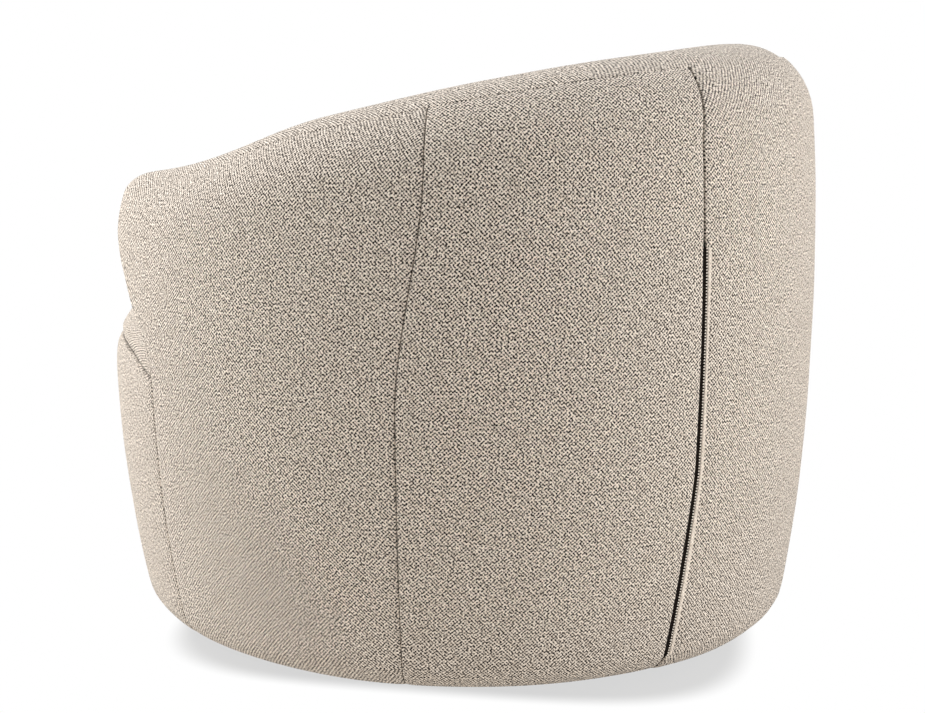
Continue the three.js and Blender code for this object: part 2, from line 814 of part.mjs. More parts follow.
const crownShares = [
  { reach: 0.985, rise: 0 },
  { reach: 0.955, rise: 0.3 },
  { reach: 0.92, rise: 0.58 },
  { reach: 0.84, rise: 0.86 },
  { reach: 0.6, rise: 0.975 },
];
const sideStops = halfWall.slice(0, -1);
const cornerStops = ["inner", "outer", "shoulder"];
const frontCushionStops = frontStops.slice(2, panelSteps + 1);
const halfStops = [...sideStops, ...cornerStops, ...frontCushionStops];
const cushionStops = [
  ...halfStops.map((stop) => ({ stop, sign: 1 })),
  ...halfStops.slice(1, -1).reverse().map((stop) => ({ stop, sign: -1 })),
];

// Plan angle of a cushion stop at a height. The corner follows the nose that rests on it.
function cushionAngle(stop, z) {
  const rise = cushion.crownHeight - cushion.cornerSeam;
  const corner = follow(cushionCorner, (z - cushion.cornerSeam) / rise);
  if (stop === "shoulder") return Math.max(frontStops[1], corner + cushion.shoulderTurn);
  return typeof stop === "number" ? measuredAngle(stop) : corner;
}

// How far the corner turns out of the nose's way at a depth, in radians.
const cornerTurn = (stop, depth, r) =>
  stop === "inner" || stop === "outer" ? (depth + cushion.clearance) / r : 0;

// One point of the cushion's skin. Depth moves it inwards, and at the corner it steps out from
// the arm's side to the front face along the nose.
function cushionPoint({ stop, sign }, z, reach, depth, frontDepth = depth) {
  const angle = cushionAngle(stop, z);
  const beside = stop === "inner" || stop < angles.frontSeam;
  const arm = roomRadius(angle, 0) - cushion.clearance;
  const r = beside ? arm * reach - depth : outerRadius(angle, z) * reach - frontDepth;
  const a = sign * (angle * toRadians + cornerTurn(stop, depth, r));
  return new THREE.Vector3(r * Math.sin(a), r * Math.cos(a), z);
}

// Height at which the cushion's skin begins: a tuck beside the arms, the seam at the front.
function skirtHeight({ stop }, depth) {
  if (stop < angles.frontSeam) return cushion.tuckHeight;
  const turn = cornerTurn(stop, depth, body.halfWidth) / toRadians;
  const angle = cushionAngle(stop, cushion.cornerSeam) + turn;
  return frontSeamHeight(angle) + cushion.seamGap;
}

// Rings of the cushion's skin at a depth, from its skirt to its crown.
function cushionRings(depth, frontDepth = depth) {
  const rise = cushion.crownHeight - cushion.edgeHeight;
  const skirt = [0, 0.5].map((share) =>
    cushionStops.map((s) => {
      const z = lerp(skirtHeight(s, depth), cushion.edgeHeight, share);
      return cushionPoint(s, z, 1, depth, frontDepth);
    }),
  );
  const crown = crownShares.map((share) =>
    cushionStops.map((s) => {
      const z = cushion.edgeHeight + rise * share.rise;
      const point = cushionPoint(s, z, share.reach, depth, frontDepth);
      return point.setZ(z - depth * share.rise);
    }),
  );
  const middle = new THREE.Vector3(0, 0, cushion.crownHeight - depth);
  return { rings: [...skirt, ...crown], middle };
}

// A closed surface from rings, with a point in the middle of each end.
function domed(rings, start, end) {
  const count = rings[0].length;
  const points = [...rings.flat(), start, end];
  const index = [];
  for (let i = 0; i < rings.length - 1; i++)
    for (let j = 0; j < count; j++) {
      const [a, b] = [i * count + j, i * count + ((j + 1) % count)];
      const rising = rings[i][j].z <= rings[i + 1][j].z;
      if (rising) index.push(a, b, a + count, b, b + count, a + count);
      else index.push(a, b, b + count, a, b + count, a + count);
    }
  const top = (rings.length - 1) * count;
  for (let j = 0; j < count; j++) {
    const k = (j + 1) % count;
    index.push(points.length - 2, k, j, points.length - 1, top + j, top + k);
  }
  return solid(points, index);
}

function cushionSkin() {
  const outer = cushionRings(0);
  const inner = cushionRings(cloth.thickness);
  const rings = [...inner.rings.reverse(), ...outer.rings];
  return domed(rings, inner.middle, outer.middle);
}

// Rings under the skin, down to the deck. Its front can stand deeper below the seam.
function cushionBlock(depth, low, frontDepth, lowFrontDepth) {
  const { rings, middle } = cushionRings(depth, frontDepth);
  const eased = rings[0].map((p, i) => {
    const next = rings[1][i];
    return p.clone().lerp(next, cushion.seamTurn / (next.z - p.z));
  });
  const under = (z) => cushionStops.map((s) => cushionPoint(s, z(s), 1, depth, lowFrontDepth));
  const foot = under(() => low);
  const turn = under((s) => skirtHeight(s, depth));
  return domed([foot, turn, eased, ...rings.slice(1)], new THREE.Vector3(0, 0, low), middle);
}

// What the arm's nose is cut back by, so that it rests on the cushion's corner.
const cushionEnvelope = () => {
  const front = -cutter.overrun;
  return cushionBlock(-cloth.layerGap, cushion.tuckHeight - cutter.overrun, front, front);
};

const deckTop = frame.seatHeight + fit + deck.webbing + fit + deck.pad;

function seat() {
  add("seat_cushion_cover", cushionSkin(), "tweed");
  const deep = padEnd + padding.frameGap;
  const foam = cushionBlock(padding.cutDepth, deckTop + fit, padding.cutDepth, deep);
  add("seat_cushion_foam", foam, "foam");
  const radius = (angle) => {
    const a = Math.abs(turned(angle));
    if (a > angles.frontSeam) return outerRadius(a, frame.seatHeight) - frameEnd;
    return roomRadius(measuredAngle(a), 0) - padStart;
  };
  const stops = [...wallStops, ...frontStops.slice(1, -1)];
  add("seat_deck_pad", slab(stops, radius, deckTop - deck.pad, deckTop), "felt");
}

// Timber frame

// How far out a piece may reach inside the rounded foot of the covers, at a height.
function footRadius(angle, z) {
  const line = inset(wallSection(angle).slice(mark.hem, mark.foot + 1), cloth.thickness);
  return atHeight(line.slice(1), z).r - padding.frameGap;
}
const hoopOuter = (angle) => footRadius(angle, hoopLow);

// A seam-to-seam board on the base hoop that follows the wall.
function standing(angle, wall, top) {
  const skin = inset(wall, frameStart);
  const back = inset(wall, frameEnd);
  const low = hoopHigh + fit;
  const foot = Math.min(hoopOuter(angle), skin[0].r);
  const outer = [{ r: foot, z: low }, ...skin.slice(0, -1), { r: skin.at(-1).r, z: top }];
  const inner = [{ r: foot - frame.thickness, z: low }, ...back.slice(0, -1)];
  return [...outer, ...[...inner, { r: back.at(-1).r, z: top }].reverse()];
}

// The plate's underside where it runs straight between two stations.
function underPlate(angle) {
  const at = THREE.MathUtils.clamp(angle, -angles.frameEnd, angles.frameEnd);
  const after = Math.max(1, insideStops.findIndex((stop) => stop >= at));
  const [a, b] = [insideStops[after - 1], insideStops[after]];
  return lerp(plateLow(a), plateLow(b), (at - a) / (b - a));
}

function posts() {
  postAngles.forEach((middle, i) => {
    const half = frame.postWidth / 2 / planRadius(middle) / toRadians;
    const section = (a) => {
      const wall = wallSection(a).slice(mark.foot, mark.wallTop + 1);
      return standing(a, wall, underPlate(a) - frame.relief);
    };
    add(`post_${i + 1}`, along([middle - half, middle + half], section), "plywood");
  });
}

function hoops() {
  const base = (a) => boxSection(hoopOuter(a) - hoop.width, hoopOuter(a), hoopLow, hoopHigh);
  add("base_hoop", ring(base), "plywood");
  const seatRing = (a) => {
    const at = Math.abs(turned(a));
    const outer = outerRadius(at, seatLow) - frameEnd - 2 * padding.frameGap;
    const inner = seatInner(at);
    return boxSection(inner, outer, seatLow, frame.seatHeight);
  };
  add("seat_hoop", ring(seatRing), "plywood");
}

// Inner edge of the seat hoop, which follows the room and then runs round the front.
function seatInner(angle) {
  const side = roomRadius(Math.min(angle, angles.frontSeam), 0) - frame.seatMargin;
  const front = outerRadius(180, seatLow) - frameEnd - hoop.width;
  return lerp(side, front, smooth((angle - angles.frontSeam) / (180 - angles.frontSeam)));
}

const insideStops = [
  -angles.frameEnd,
  ...armStops(-1).slice(1, -1),
  ...insideBackStops,
  ...armStops(1).slice(1, -1),
  angles.frameEnd,
];

function topPlate() {
  const section = (a) => {
    const high = plateLow(a) + frame.ply;
    const outer = insidePad(a, high) - padding.frameGap - fit;
    const level = rollAt(measuredAngle(a)).top;
    const inner = backLine(a)[0].r + 2 * fit;
    return boxSection(inner, outer, plateLow(a), high).map((p) => ({ ...p, level }));
  };
  add("top_plate", along(insideStops, section), "plywood");
}

// The board that carries the inside padding stands on the seat hoop and ends under the plate.
function insideBoard() {
  const section = (a) => [...backLine(a, fit), ...backLine(a, fit + board.inside).reverse()];
  add("inside_board", along(insideStops, section), "fibreboard");
}

function frontRail() {
  const section = (a) => standing(a, borderSection(a).slice(mark.foot, -1), frame.seatHeight);
  add("front_rail", along(frontStops, section, plainSeam, plainSeam), "plywood");
}

// Elastic straps laid over the seat hoop in both directions.
function webbing() {
  const z = frame.seatHeight + fit;
  const straps = [];
  const reach = (angle) => seatInner(angle) + deck.strapLap;
  for (const i of [-1.5, -0.5, 0.5, 1.5]) {
    const x = i * deck.strapPitch;
    const back = across(reach(0), reach(90), x);
    const front = across(reach(180), reach(90), x);
    straps.push(box(x, (back - front) / 2, z, deck.strapWidth, back + front, deck.webbing));
  }
  for (const i of [-2, -1, 0]) {
    const y = i * deck.strapPitch;
    const half = across(reach(90), reach(i < 0 ? 180 : 0), y);
    straps.push(box(0, y, z, 2 * half, deck.strapWidth, deck.webbing));
  }
  add("seat_webbing", join(...straps), "webbing");
}

// Half length of a chord across an oval, at a distance from its middle.
const mostShare = 0.9;
const across = (long, wide, away) =>
  long * Math.sqrt(1 - Math.min(away / wide, mostShare) ** 2);

function dustCover() {
  const low = hoopLow - fit - dust.thickness;
  const section = (a) => boxSection(dust.hole, footRadius(a, low), low, hoopLow - fit);
  add("dust_cover", ring(section), "lining");
}

// Swivel base

const heights = {};
heights.ringMiddle = swivel.glideHeight + fit + swivel.ringTube;
heights.barLow = heights.ringMiddle - swivel.barThickness / 2;
heights.lowerPlate = heights.barLow + swivel.barThickness + fit;
heights.lowerTop = heights.lowerPlate + swivel.raceDepth + swivel.raceWall;
heights.ball =
  heights.lowerTop - swivel.raceDepth + swivel.runningGap + swivel.ballRadius;
heights.upperPlate = heights.ball + swivel.ballRadius + swivel.runningGap - swivel.raceDepth;
heights.upperTop = heights.upperPlate + swivel.raceDepth + swivel.raceWall;

const roundSteps = 24;
const raceSteps = 60;

function baseRing() {
  const section = spread(0, 360, 8).slice(0, -1).map((stop) => {
    const a = stop * toRadians;
    const r = swivel.ringRadius + swivel.ringTube * Math.sin(a);
    return [r, heights.ringMiddle + swivel.ringTube * Math.cos(a)];
  });
  add("base_ring", turnedPiece(section, roundSteps), "blackSteel");
}

function baseBars() {
  const reach = swivel.ringRadius - swivel.ringTube - fit;
  const [w, z] = [swivel.barWidth, heights.barLow];
  const bars = [
    box(0, 0, z, 2 * reach, w, swivel.barThickness),
    box(0, 0, z, w, 2 * reach, swivel.barThickness),
  ];
  const bore = swivel.pivotRadius + fit;
  const hole = rod(0, 0, z - cutter.overrun, bore, 3 * cutter.overrun, roundSteps / 2);
  const rounded = turnedPiece(
    [
      [0, z - cutter.overrun],
      [reach, z - cutter.overrun],
      [reach, z + swivel.barThickness + cutter.overrun],
      [0, z + swivel.barThickness + cutter.overrun],
    ],
    roundSteps,
  );
  add("base_bars", common(cut(join(...bars), hole), rounded), "blackSteel");
}

function glides() {
  for (let i = 0; i < 4; i++) {
    const a = (i * Math.PI) / 2;
    const [x, y] = [swivel.ringRadius * Math.sin(a), swivel.ringRadius * Math.cos(a)];
    const foot = rod(x, y, 0, swivel.glideRadius, swivel.glideHeight, roundSteps / 2);
    add(`glide_${i + 1}`, foot, "nylon");
  }
}

// A race plate: flat on one side, with a round groove for the balls in the other.
function racePlate(radius, flat, faceUp) {
  const bore = swivel.pivotRadius + fit;
  const way = faceUp ? 1 : -1;
  const face = flat + way * (swivel.raceDepth + swivel.raceWall);
  const half = Math.sqrt(swivel.ballRadius ** 2 - (swivel.ballRadius - swivel.raceDepth) ** 2);
  const groove = [1, 0.5, 0, -0.5, -1].map((share) => {
    const depth = swivel.raceDepth * (1 - share ** 2);
    return [swivel.ballCircle + share * (half + swivel.runningGap), face - way * depth];
  });
  const points = [[bore, flat], [radius, flat], [radius, face], ...groove, [bore, face]];
  return turnedPiece(points, raceSteps);
}

const boltPlaces = [
  [1, 1],
  [-1, 1],
  [-1, -1],
  [1, -1],
].map(([i, j]) => [i * bolt.spacing, j * bolt.spacing]);

function raceways() {
  add("lower_race_plate", racePlate(swivel.lowerRadius, heights.lowerPlate, true), "zincSteel");
  const upper = racePlate(swivel.upperRadius, heights.upperTop, false);
  const low = heights.upperPlate - cutter.overrun;
  const holes = boltPlaces.map(([x, y]) =>
    rod(x, y, low, bolt.shank + bolt.holeGap, 3 * cutter.overrun, 12),
  );
  add("upper_race_plate", cut(upper, ...holes), "zincSteel");
}

// A hollow rivet holds the two plates together and stays with the base.
function pivot() {
  const { pivotBore, pivotRadius, pivotFlange, flangeThickness } = swivel;
  const foot = heights.barLow - fit;
  const head = heights.upperTop + fit;
  const profile = [
    [pivotBore, foot - flangeThickness],
    [pivotFlange, foot - flangeThickness],
    [pivotFlange, foot],
    [pivotRadius, foot],
    [pivotRadius, head],
    [pivotFlange, head],
    [pivotFlange, head + flangeThickness],
    [pivotBore, head + flangeThickness],
  ];
  add("pivot_rivet", turnedPiece(profile, roundSteps / 2), "zincSteel");
}

function ballCage() {
  const { ballCircle, ballRadius, cageHalfWidth, cageThickness, runningGap } = swivel;
  const low = heights.ball - cageThickness / 2;
  const section = [
    [ballCircle - cageHalfWidth, low],
    [ballCircle + cageHalfWidth, low],
    [ballCircle + cageHalfWidth, low + cageThickness],
    [ballCircle - cageHalfWidth, low + cageThickness],
  ];
  const places = spread(0, 2 * Math.PI, ballCount)
    .slice(0, -1)
    .map((a) => [ballCircle * Math.sin(a), ballCircle * Math.cos(a)]);
  const pockets = places.map(([x, y]) =>
    rod(x, y, low - cutter.overrun, ballRadius + runningGap, 3 * cutter.overrun, 12),
  );
  add("ball_cage", cut(turnedPiece(section, roundSteps), ...pockets), "nylon");
  places.forEach(([x, y], i) => {
    const ball = new THREE.SphereGeometry(ballRadius, 10, 6).rotateX(Math.PI / 2);
    add(`bearing_ball_${i + 1}`, ball.translate(x, y, heights.ball), "ballSteel");
  });
}

// Two boards across the base hoop carry the upper race plate on four bolts.
function mounting() {
  const low = heights.upperTop + fit;
  const stops = ringStops;
  const inside = slab(
    stops,
    (a) => hoopOuter(a) - hoop.width - fit,
    low - cutter.overrun,
    low + frame.ply + cutter.overrun,
  );
  const holes = boltPlaces.map(([x, y]) =>
    rod(x, y, low - cutter.overrun, bolt.shank + bolt.holeGap, frame.ply * 2, 12),
  );
  for (const { name, sign } of sides) {
    const x = sign * bolt.spacing;
    const length = 2 * body.halfDepth;
    const blank = box(x, 0, low, board.width, length, frame.ply);
    add(`mounting_board_${name}`, cut(common(blank, inside), ...holes), "plywood");
  }
  boltPlaces.forEach(([x, y], i) => {
    const head = heights.upperPlate - fit;
    const profile = [
      [0, head - bolt.headHeight],
      [bolt.head, head - bolt.headHeight],
      [bolt.head, head],
      [bolt.shank, head],
      [bolt.shank, head + bolt.grip],
      [0, head + bolt.grip],
    ];
    add(`plate_bolt_${i + 1}`, turnedPiece(profile, 12).translate(x, y, 0), "zincSteel");
  });
}

outerCovers();
frontBorder();
outerPads();
zips();
insideCovers();
insideFoam();
armFronts();
seat();
posts();
hoops();
topPlate();
insideBoard();
frontRail();
webbing();
dustCover();
baseRing();
baseBars();
glides();
raceways();
pivot();
ballCage();
mounting();

export default chair;
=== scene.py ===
"""Swivel barrel chair: covers, cushion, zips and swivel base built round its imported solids."""

import math

import bmesh
import bpy
import numpy as np
from bpy.props import FloatProperty, FloatVectorProperty, PointerProperty
from bpy.types import Operator, Panel, PropertyGroup
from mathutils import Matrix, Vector, noise


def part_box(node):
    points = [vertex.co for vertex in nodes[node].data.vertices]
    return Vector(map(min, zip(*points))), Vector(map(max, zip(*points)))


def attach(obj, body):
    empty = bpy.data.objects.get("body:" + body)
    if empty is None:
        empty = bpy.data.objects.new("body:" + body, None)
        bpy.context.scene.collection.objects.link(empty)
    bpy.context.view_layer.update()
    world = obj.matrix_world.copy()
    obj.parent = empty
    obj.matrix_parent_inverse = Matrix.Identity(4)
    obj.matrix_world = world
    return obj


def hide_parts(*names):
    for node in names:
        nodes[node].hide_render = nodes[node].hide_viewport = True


bl_info = {
    "name": "Swivel barrel chair",
    "version": (1, 0, 0),
    "blender": (4, 5, 0),
    "location": "View3D > Sidebar > Chair",
    "description": "Builds the looks of a swivel barrel chair round its solids",
    "category": "Add Mesh",
}

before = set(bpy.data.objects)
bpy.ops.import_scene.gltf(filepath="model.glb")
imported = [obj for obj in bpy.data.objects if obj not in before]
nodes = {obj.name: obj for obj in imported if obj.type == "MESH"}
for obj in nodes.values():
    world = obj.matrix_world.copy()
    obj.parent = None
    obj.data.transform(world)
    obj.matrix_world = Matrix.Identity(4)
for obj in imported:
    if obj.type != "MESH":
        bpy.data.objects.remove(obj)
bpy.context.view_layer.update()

# Units

MM = 0.001


def linear(hex_colour):
    """A colour written as sRGB hex, as the linear values that Blender's shaders use."""
    parts = [int(hex_colour[i : i + 2], 16) / 255 for i in (1, 3, 5)]
    return [c / 12.92 if c <= 0.04045 else ((c + 0.055) / 1.055) ** 2.4 for c in parts]


# The chair's form in millimetres: its solids' form, except that the rim's dip, the nose and
# the cushion's front seam are up to 10 mm lower.
# A plan angle is in degrees from the middle of the back, positive towards +X.

HALF_WIDTH = 430.0
HALF_DEPTH = 453.0
HEIGHT = 737.0
FLOOR_GAP = 25.0
WIDEST_HEIGHT = 430.0
SIDE_TAPER = 28.0  # how far the foot stands inside the widest line
FRONT_TAPER = 11.0  # how much more it does in front
TAPER_POWER = 2.42
TOP_LEAN = 17.5
LEAN_POWER = 2.0
BOTTOM_ROUND = 35.5
HEM = 32.0  # how far the covers turn under at the foot

# The rim falls from the back to the arms, dips, and falls again over the nose
RIM_DROP_SHARE = 0.22
RIM_POWER = 1.46
RIM_DIP = 10.5
RIM_DIP_AT = 128.0
RIM_DIP_HALF = 24.0
NOSE_FALL = 12.0

# The roll is the rounded top of the back and the arms
ROLL_OUTER_WIDTH = 80.0
ROLL_OUTER_HEIGHT = 86.5
ROLL_INNER_HEIGHT = 90.0
ROLL_FULL_THICKNESS = 115.0
ROLL_LEAST = 12.0
ROLL_OUTER_SHARE = 0.55
SEAM_STOP = 52.0  # where the top seam runs on the roll, in degrees up from its start

# The room is the hollow between the back and the arms
ROOM_HALF_WIDTH = 262.0
ROOM_TOP_FLARE = 12.0
ROOM_BACK_DEPTH = 190.0
ROOM_RECLINE = 80.0
ROOM_POWER = 2.5
NOSE_NARROWING = 53.0
NOSE_DEPTH = 375.0
RECLINE_START = 400.0
SEAT_FRAME_HEIGHT = 288.0

CUSHION_CROWN = 458.0
CUSHION_EDGE = 390.0  # where the crown starts to round over
CUSHION_TUCK = 330.0  # the filling is held below this height
CORNER_SEAM = 346.0  # height of the cushion's seam at the arms
FRONT_SEAM_RISE = 32.0  # how much higher it is in the middle

# Plan angles of the seams and of the arm's front
ZIP_SEAM = 44.5
SIDE_SEAM = 88.0
FRONT_SEAM = 133.5
INSIDE_SEAM = 61.9
NOSE = 149.0
NOSE_ROUND = 143.0
RIM_END = 150.0
SEAM_RISE_SPAN = 22.0

ZIP_TOP = 512.0
ZIP_FOOT = 60.0
ZIP_TAPER = 14.0

# How each outer seam strays from its plan angle
SIDE_TOP, SIDE_FOOT, SIDE_FROM, SIDE_TO = -3.0, 1.0, 335.0, 590.0
ZIP_DRIFT_TOP, ZIP_DRIFT_FOOT = -1.7, 2.3
ZIP_FOOT_BELOW, ZIP_FOOT_SPAN, ZIP_TOP_ABOVE, ZIP_TOP_SPAN = 260.0, 200.0, 620.0, 70.0

# Where the nose rests on the cushion and ends above it: heights and plan angles
NOSE_LINE = ((351, 133.6), (364, 134.2), (383, 135.2), (398, 136.5), (416, 138.2), (423, 140.2),
             (438, 142), (459, 144.5), (481, 147.2), (510, 149))

# The cushion's crown from its edge to its middle: shares of its reach and of its rise
CROWN = ((0.985, 0), (0.972, 0.14), (0.957, 0.29), (0.94, 0.44), (0.918, 0.59), (0.886, 0.73),
         (0.84, 0.85), (0.76, 0.93), (0.62, 0.972), (0.4, 0.99), (0.2, 1))
FRONT_PULL = 7.0  # how far the front draws in at the cushion's seam
FRONT_PULL_REACH = 16.0
FRONT_PULL_TURN = 12.0

# How many points each stretch of a section has
FOOT_POINTS = 12
WALL_POINTS = 60
BORDER_POINTS = 50
OUTER_ROLL_POINTS = 16
CREST_POINTS = 14
INNER_ROLL_POINTS = 28
ROOM_POINTS = 40


def eased(whole, share):
    """A part of a whole, which grows softly from nothing as the share goes from 0 to 1."""
    return whole * share * share * (3 - 2 * share)


def plan_radius(angle):
    """Radius of the widest oval at a plan angle."""
    a = np.radians(angle)
    return 1 / np.hypot(np.sin(a) / HALF_WIDTH, np.cos(a) / HALF_DEPTH)


def rim_height(angle):
    """Height of the roll's crest."""
    far = np.abs(angle)
    fall = HEIGHT * RIM_DROP_SHARE * (np.minimum(far, RIM_END) / RIM_END) ** RIM_POWER
    near_dip = np.clip(1 - np.abs(far - RIM_DIP_AT) / RIM_DIP_HALF, 0, 1)
    dip = RIM_DIP * np.sin(near_dip * np.pi / 2) ** 2
    nose = np.clip((far - NOSE_ROUND) / (NOSE - NOSE_ROUND), 0, 1)
    return HEIGHT - fall - dip - NOSE_FALL * nose**2


def lean(angle, z):
    """How far the wall stands inside its widest line."""
    low = np.clip((WIDEST_HEIGHT - z) / (WIDEST_HEIGHT - FLOOR_GAP), 0, 1)
    high = np.clip((z - WIDEST_HEIGHT) / (rim_height(angle) - WIDEST_HEIGHT), 0, 1)
    taper = SIDE_TAPER + FRONT_TAPER * (1 - np.cos(np.radians(angle))) / 2
    return taper * low**TAPER_POWER + TOP_LEAN * high**LEAN_POWER


def outer_radius(angle, z):
    """Radius of the outside at a height."""
    foot = np.clip((FLOOR_GAP + BOTTOM_ROUND - z) / BOTTOM_ROUND, 0, 1)
    return plan_radius(angle) - lean(angle, z) - BOTTOM_ROUND * (1 - np.sqrt(1 - foot**2))


def room_radius(angle, rise):
    """Radius of the hollow between the arms, at a share of the way up to the roll."""
    a = np.radians(np.abs(angle))
    wide = ROOM_HALF_WIDTH + ROOM_TOP_FLARE * rise
    deep = ROOM_BACK_DEPTH + ROOM_RECLINE * rise
    back = np.clip(np.cos(a), 0, 1) / deep
    behind = ((np.sin(a) / wide) ** ROOM_POWER + back**ROOM_POWER) ** (-1 / ROOM_POWER)
    side = ROOM_HALF_WIDTH + (wide - ROOM_HALF_WIDTH) * np.sin(a) ** 4
    bend = 4 * side * NOSE_NARROWING * np.cos(a) ** 2 / NOSE_DEPTH**2
    ahead = 2 * side / (np.sin(a) + np.sqrt(np.sin(a) ** 2 + bend))
    return np.where(np.cos(a) > 0, behind, ahead)


def seam_shift(angle, z):
    """How far a seam strays at a height, spread evenly between the seams."""
    zip_foot = np.clip((ZIP_FOOT_BELOW - z) / ZIP_FOOT_SPAN, 0, 1)
    zip_top = np.clip((z - ZIP_TOP_ABOVE) / ZIP_TOP_SPAN, 0, 1)
    at_zip = ZIP_DRIFT_FOOT * zip_foot + ZIP_DRIFT_TOP * zip_top
    up = np.clip((z - SIDE_FROM) / (SIDE_TO - SIDE_FROM), 0, 1)
    at_side = SIDE_FOOT + eased(SIDE_TOP - SIDE_FOOT, up)
    far = np.abs(angle)
    behind = at_zip * np.clip(far / ZIP_SEAM, 0, 1)
    beside = at_side * np.clip((FRONT_SEAM - far) / (FRONT_SEAM - SIDE_SEAM), 0, 1)
    share = np.clip((far - ZIP_SEAM) / (SIDE_SEAM - ZIP_SEAM), 0, 1)
    return behind * (1 - share) + beside * share


def measured(angle):
    """The plan angle at which a section is measured: where its top ends up."""
    return abs(angle) + float(seam_shift(angle, rim_height(angle)))


def roll_at(angle):
    """The roll's sizes at a plan angle."""
    outer_top = plan_radius(angle) - TOP_LEAN
    inner = min(float(room_radius(angle, 1)), outer_top - ROLL_LEAST)
    thickness = outer_top - inner
    size = min(thickness / ROLL_FULL_THICKNESS, 1)
    return {
        "top": float(rim_height(angle)),
        "inner": inner,
        "outer_top": outer_top,
        "width": min(ROLL_OUTER_WIDTH, thickness * ROLL_OUTER_SHARE),
        "outer_height": ROLL_OUTER_HEIGHT * size,
        "inner_height": ROLL_INNER_HEIGHT * size,
    }


def outer_roll(angle, stops):
    """Radius and height on the outer side of the roll, at stops in degrees."""
    roll, a = roll_at(angle), np.radians(stops)
    z = roll["top"] - roll["outer_height"] * (1 - np.sin(a))
    return plan_radius(angle) - lean(angle, z) - roll["width"] * (1 - np.cos(a)), z


def inner_roll(angle, stops):
    """Radius and height on the inner side of the roll, at stops in degrees."""
    roll, a = roll_at(angle), np.radians(stops)
    crest = roll["outer_top"] - roll["width"]
    z = roll["top"] - roll["inner_height"] * (1 - np.sin(a))
    return roll["inner"] + (crest - roll["inner"]) * (1 - np.cos(a)), z


def inner_face(angle, z, top):
    """Radius of the room's wall at a height, below a roll that starts at top."""
    rise = np.clip((z - RECLINE_START) / (top - RECLINE_START), 0, 1)
    return np.minimum(room_radius(angle, rise), outer_radius(angle, z) - ROLL_LEAST)


def front_seam_height(angle):
    """Height of the cushion's front seam."""
    share = np.clip((np.abs(angle) - FRONT_SEAM) / SEAM_RISE_SPAN, 0, 1)
    return CORNER_SEAM + FRONT_SEAM_RISE * np.sin(share * np.pi / 2)


def front_pull(angle):
    """How far the front stands back at the cushion's seam, at a plan angle."""
    share = np.clip((np.abs(angle) - FRONT_SEAM) / FRONT_PULL_TURN, 0, 1)
    return eased(FRONT_PULL, share)


def nose_end(z):
    """Plan angle at which the arm's front ends at a height."""
    heights, ends = zip(*NOSE_LINE)
    return np.interp(z, heights, ends)


def foot_line(angle):
    """The hem and the rounded foot."""
    z = FLOOR_GAP + BOTTOM_ROUND * (1 - np.cos(np.radians(np.linspace(0, 90, FOOT_POINTS))))
    r = outer_radius(angle, z)
    hem = r[0] - HEM * np.array([1, 0.5])
    return np.append(hem, r), np.append([FLOOR_GAP, FLOOR_GAP], z)


def outer_line(angle):
    """The wall's outer face from the hem to the top seam."""
    at, roll = measured(angle), roll_at(measured(angle))
    foot_r, foot_z = foot_line(at)
    wall_top = roll["top"] - roll["outer_height"]
    z = np.linspace(FLOOR_GAP + BOTTOM_ROUND, wall_top, WALL_POINTS)[1:]
    roll_r, roll_z = outer_roll(at, np.linspace(0, SEAM_STOP, OUTER_ROLL_POINTS)[1:])
    r = np.concatenate([foot_r, outer_radius(at, z), roll_r])
    heights = np.concatenate([foot_z, z, roll_z])
    return r, heights, heights


def inner_line(angle):
    """Over the roll from the top seam and down the room's side to the seat."""
    at, roll = measured(angle), roll_at(measured(angle))
    over_r, over_z = outer_roll(at, np.linspace(SEAM_STOP, 90, CREST_POINTS))
    in_r, in_z = inner_roll(at, np.linspace(90, 0, INNER_ROLL_POINTS)[1:])
    z = np.linspace(in_z[-1], SEAT_FRAME_HEIGHT, ROOM_POINTS)[1:]
    r = np.concatenate([over_r, in_r, inner_face(at, z, in_z[-1])])
    heights = np.concatenate([over_z, in_z, z])
    levels = np.where(np.arange(len(r)) < len(over_r), heights, roll["top"])
    return r, heights, levels


def border_line(angle):
    """The front below the cushion, from the hem to the cushion's seam."""
    foot_r, foot_z = foot_line(angle)
    seam = front_seam_height(angle)
    z = np.linspace(FLOOR_GAP + BOTTOM_ROUND, seam, BORDER_POINTS)[1:]
    pull = front_pull(angle) * np.exp((z - seam) / FRONT_PULL_REACH)
    heights = np.append(foot_z, z)
    return np.append(foot_r, outer_radius(angle, z) - pull), heights, heights


# Mesh helpers

EDGE_STEPS = (0, 0.45, 1.1, 2.3, 4.5, 8, 13)  # distances from a seam where the cloth has a row
SEAM_SINK = 3.0  # how deep a seam's crease is, and within what distance
SEAM_NARROW = 0.6
SEAM_ROLL = 0.9  # how far the padding rolls in towards it, and within what distance
SEAM_BROAD = 6.0
PUFF_SIZE = 110.0  # length of the padding's swells
CLOTH_MAP = "cloth"
SMALLEST = 1e-9


def distances(r, z):
    """Distances along a line from its first point."""
    return np.append(0, np.cumsum(np.hypot(np.diff(r), np.diff(z))))


def respaced(line, steps, low_seam=True, high_seam=True):
    """A line at a fixed number of points: true distances at its seams, even between them."""
    r, z, level = line
    run = distances(r, z)
    low = list(EDGE_STEPS) if low_seam else [0]
    high = [run[-1] - d for d in reversed(EDGE_STEPS)] if high_seam else [run[-1]]
    at = np.concatenate([low[:-1], np.linspace(low[-1], high[0], steps), high[1:]])
    return [np.interp(at, run, values) for values in (r, z, level)]


def stations(start, end, step, first_seam=True, last_seam=True):
    """Plan angles from one seam to another, closer together towards the seams."""
    reach = math.radians(1) * (HALF_WIDTH + HALF_DEPTH) / 2
    edge = [d / reach for d in EDGE_STEPS]
    low = [start + d for d in edge] if first_seam else [start]
    high = [end - d for d in reversed(edge)] if last_seam else [end]
    count = max(2, round((high[0] - low[-1]) / step))
    return low[:-1] + list(np.linspace(low[-1], high[0], count)) + high[1:]


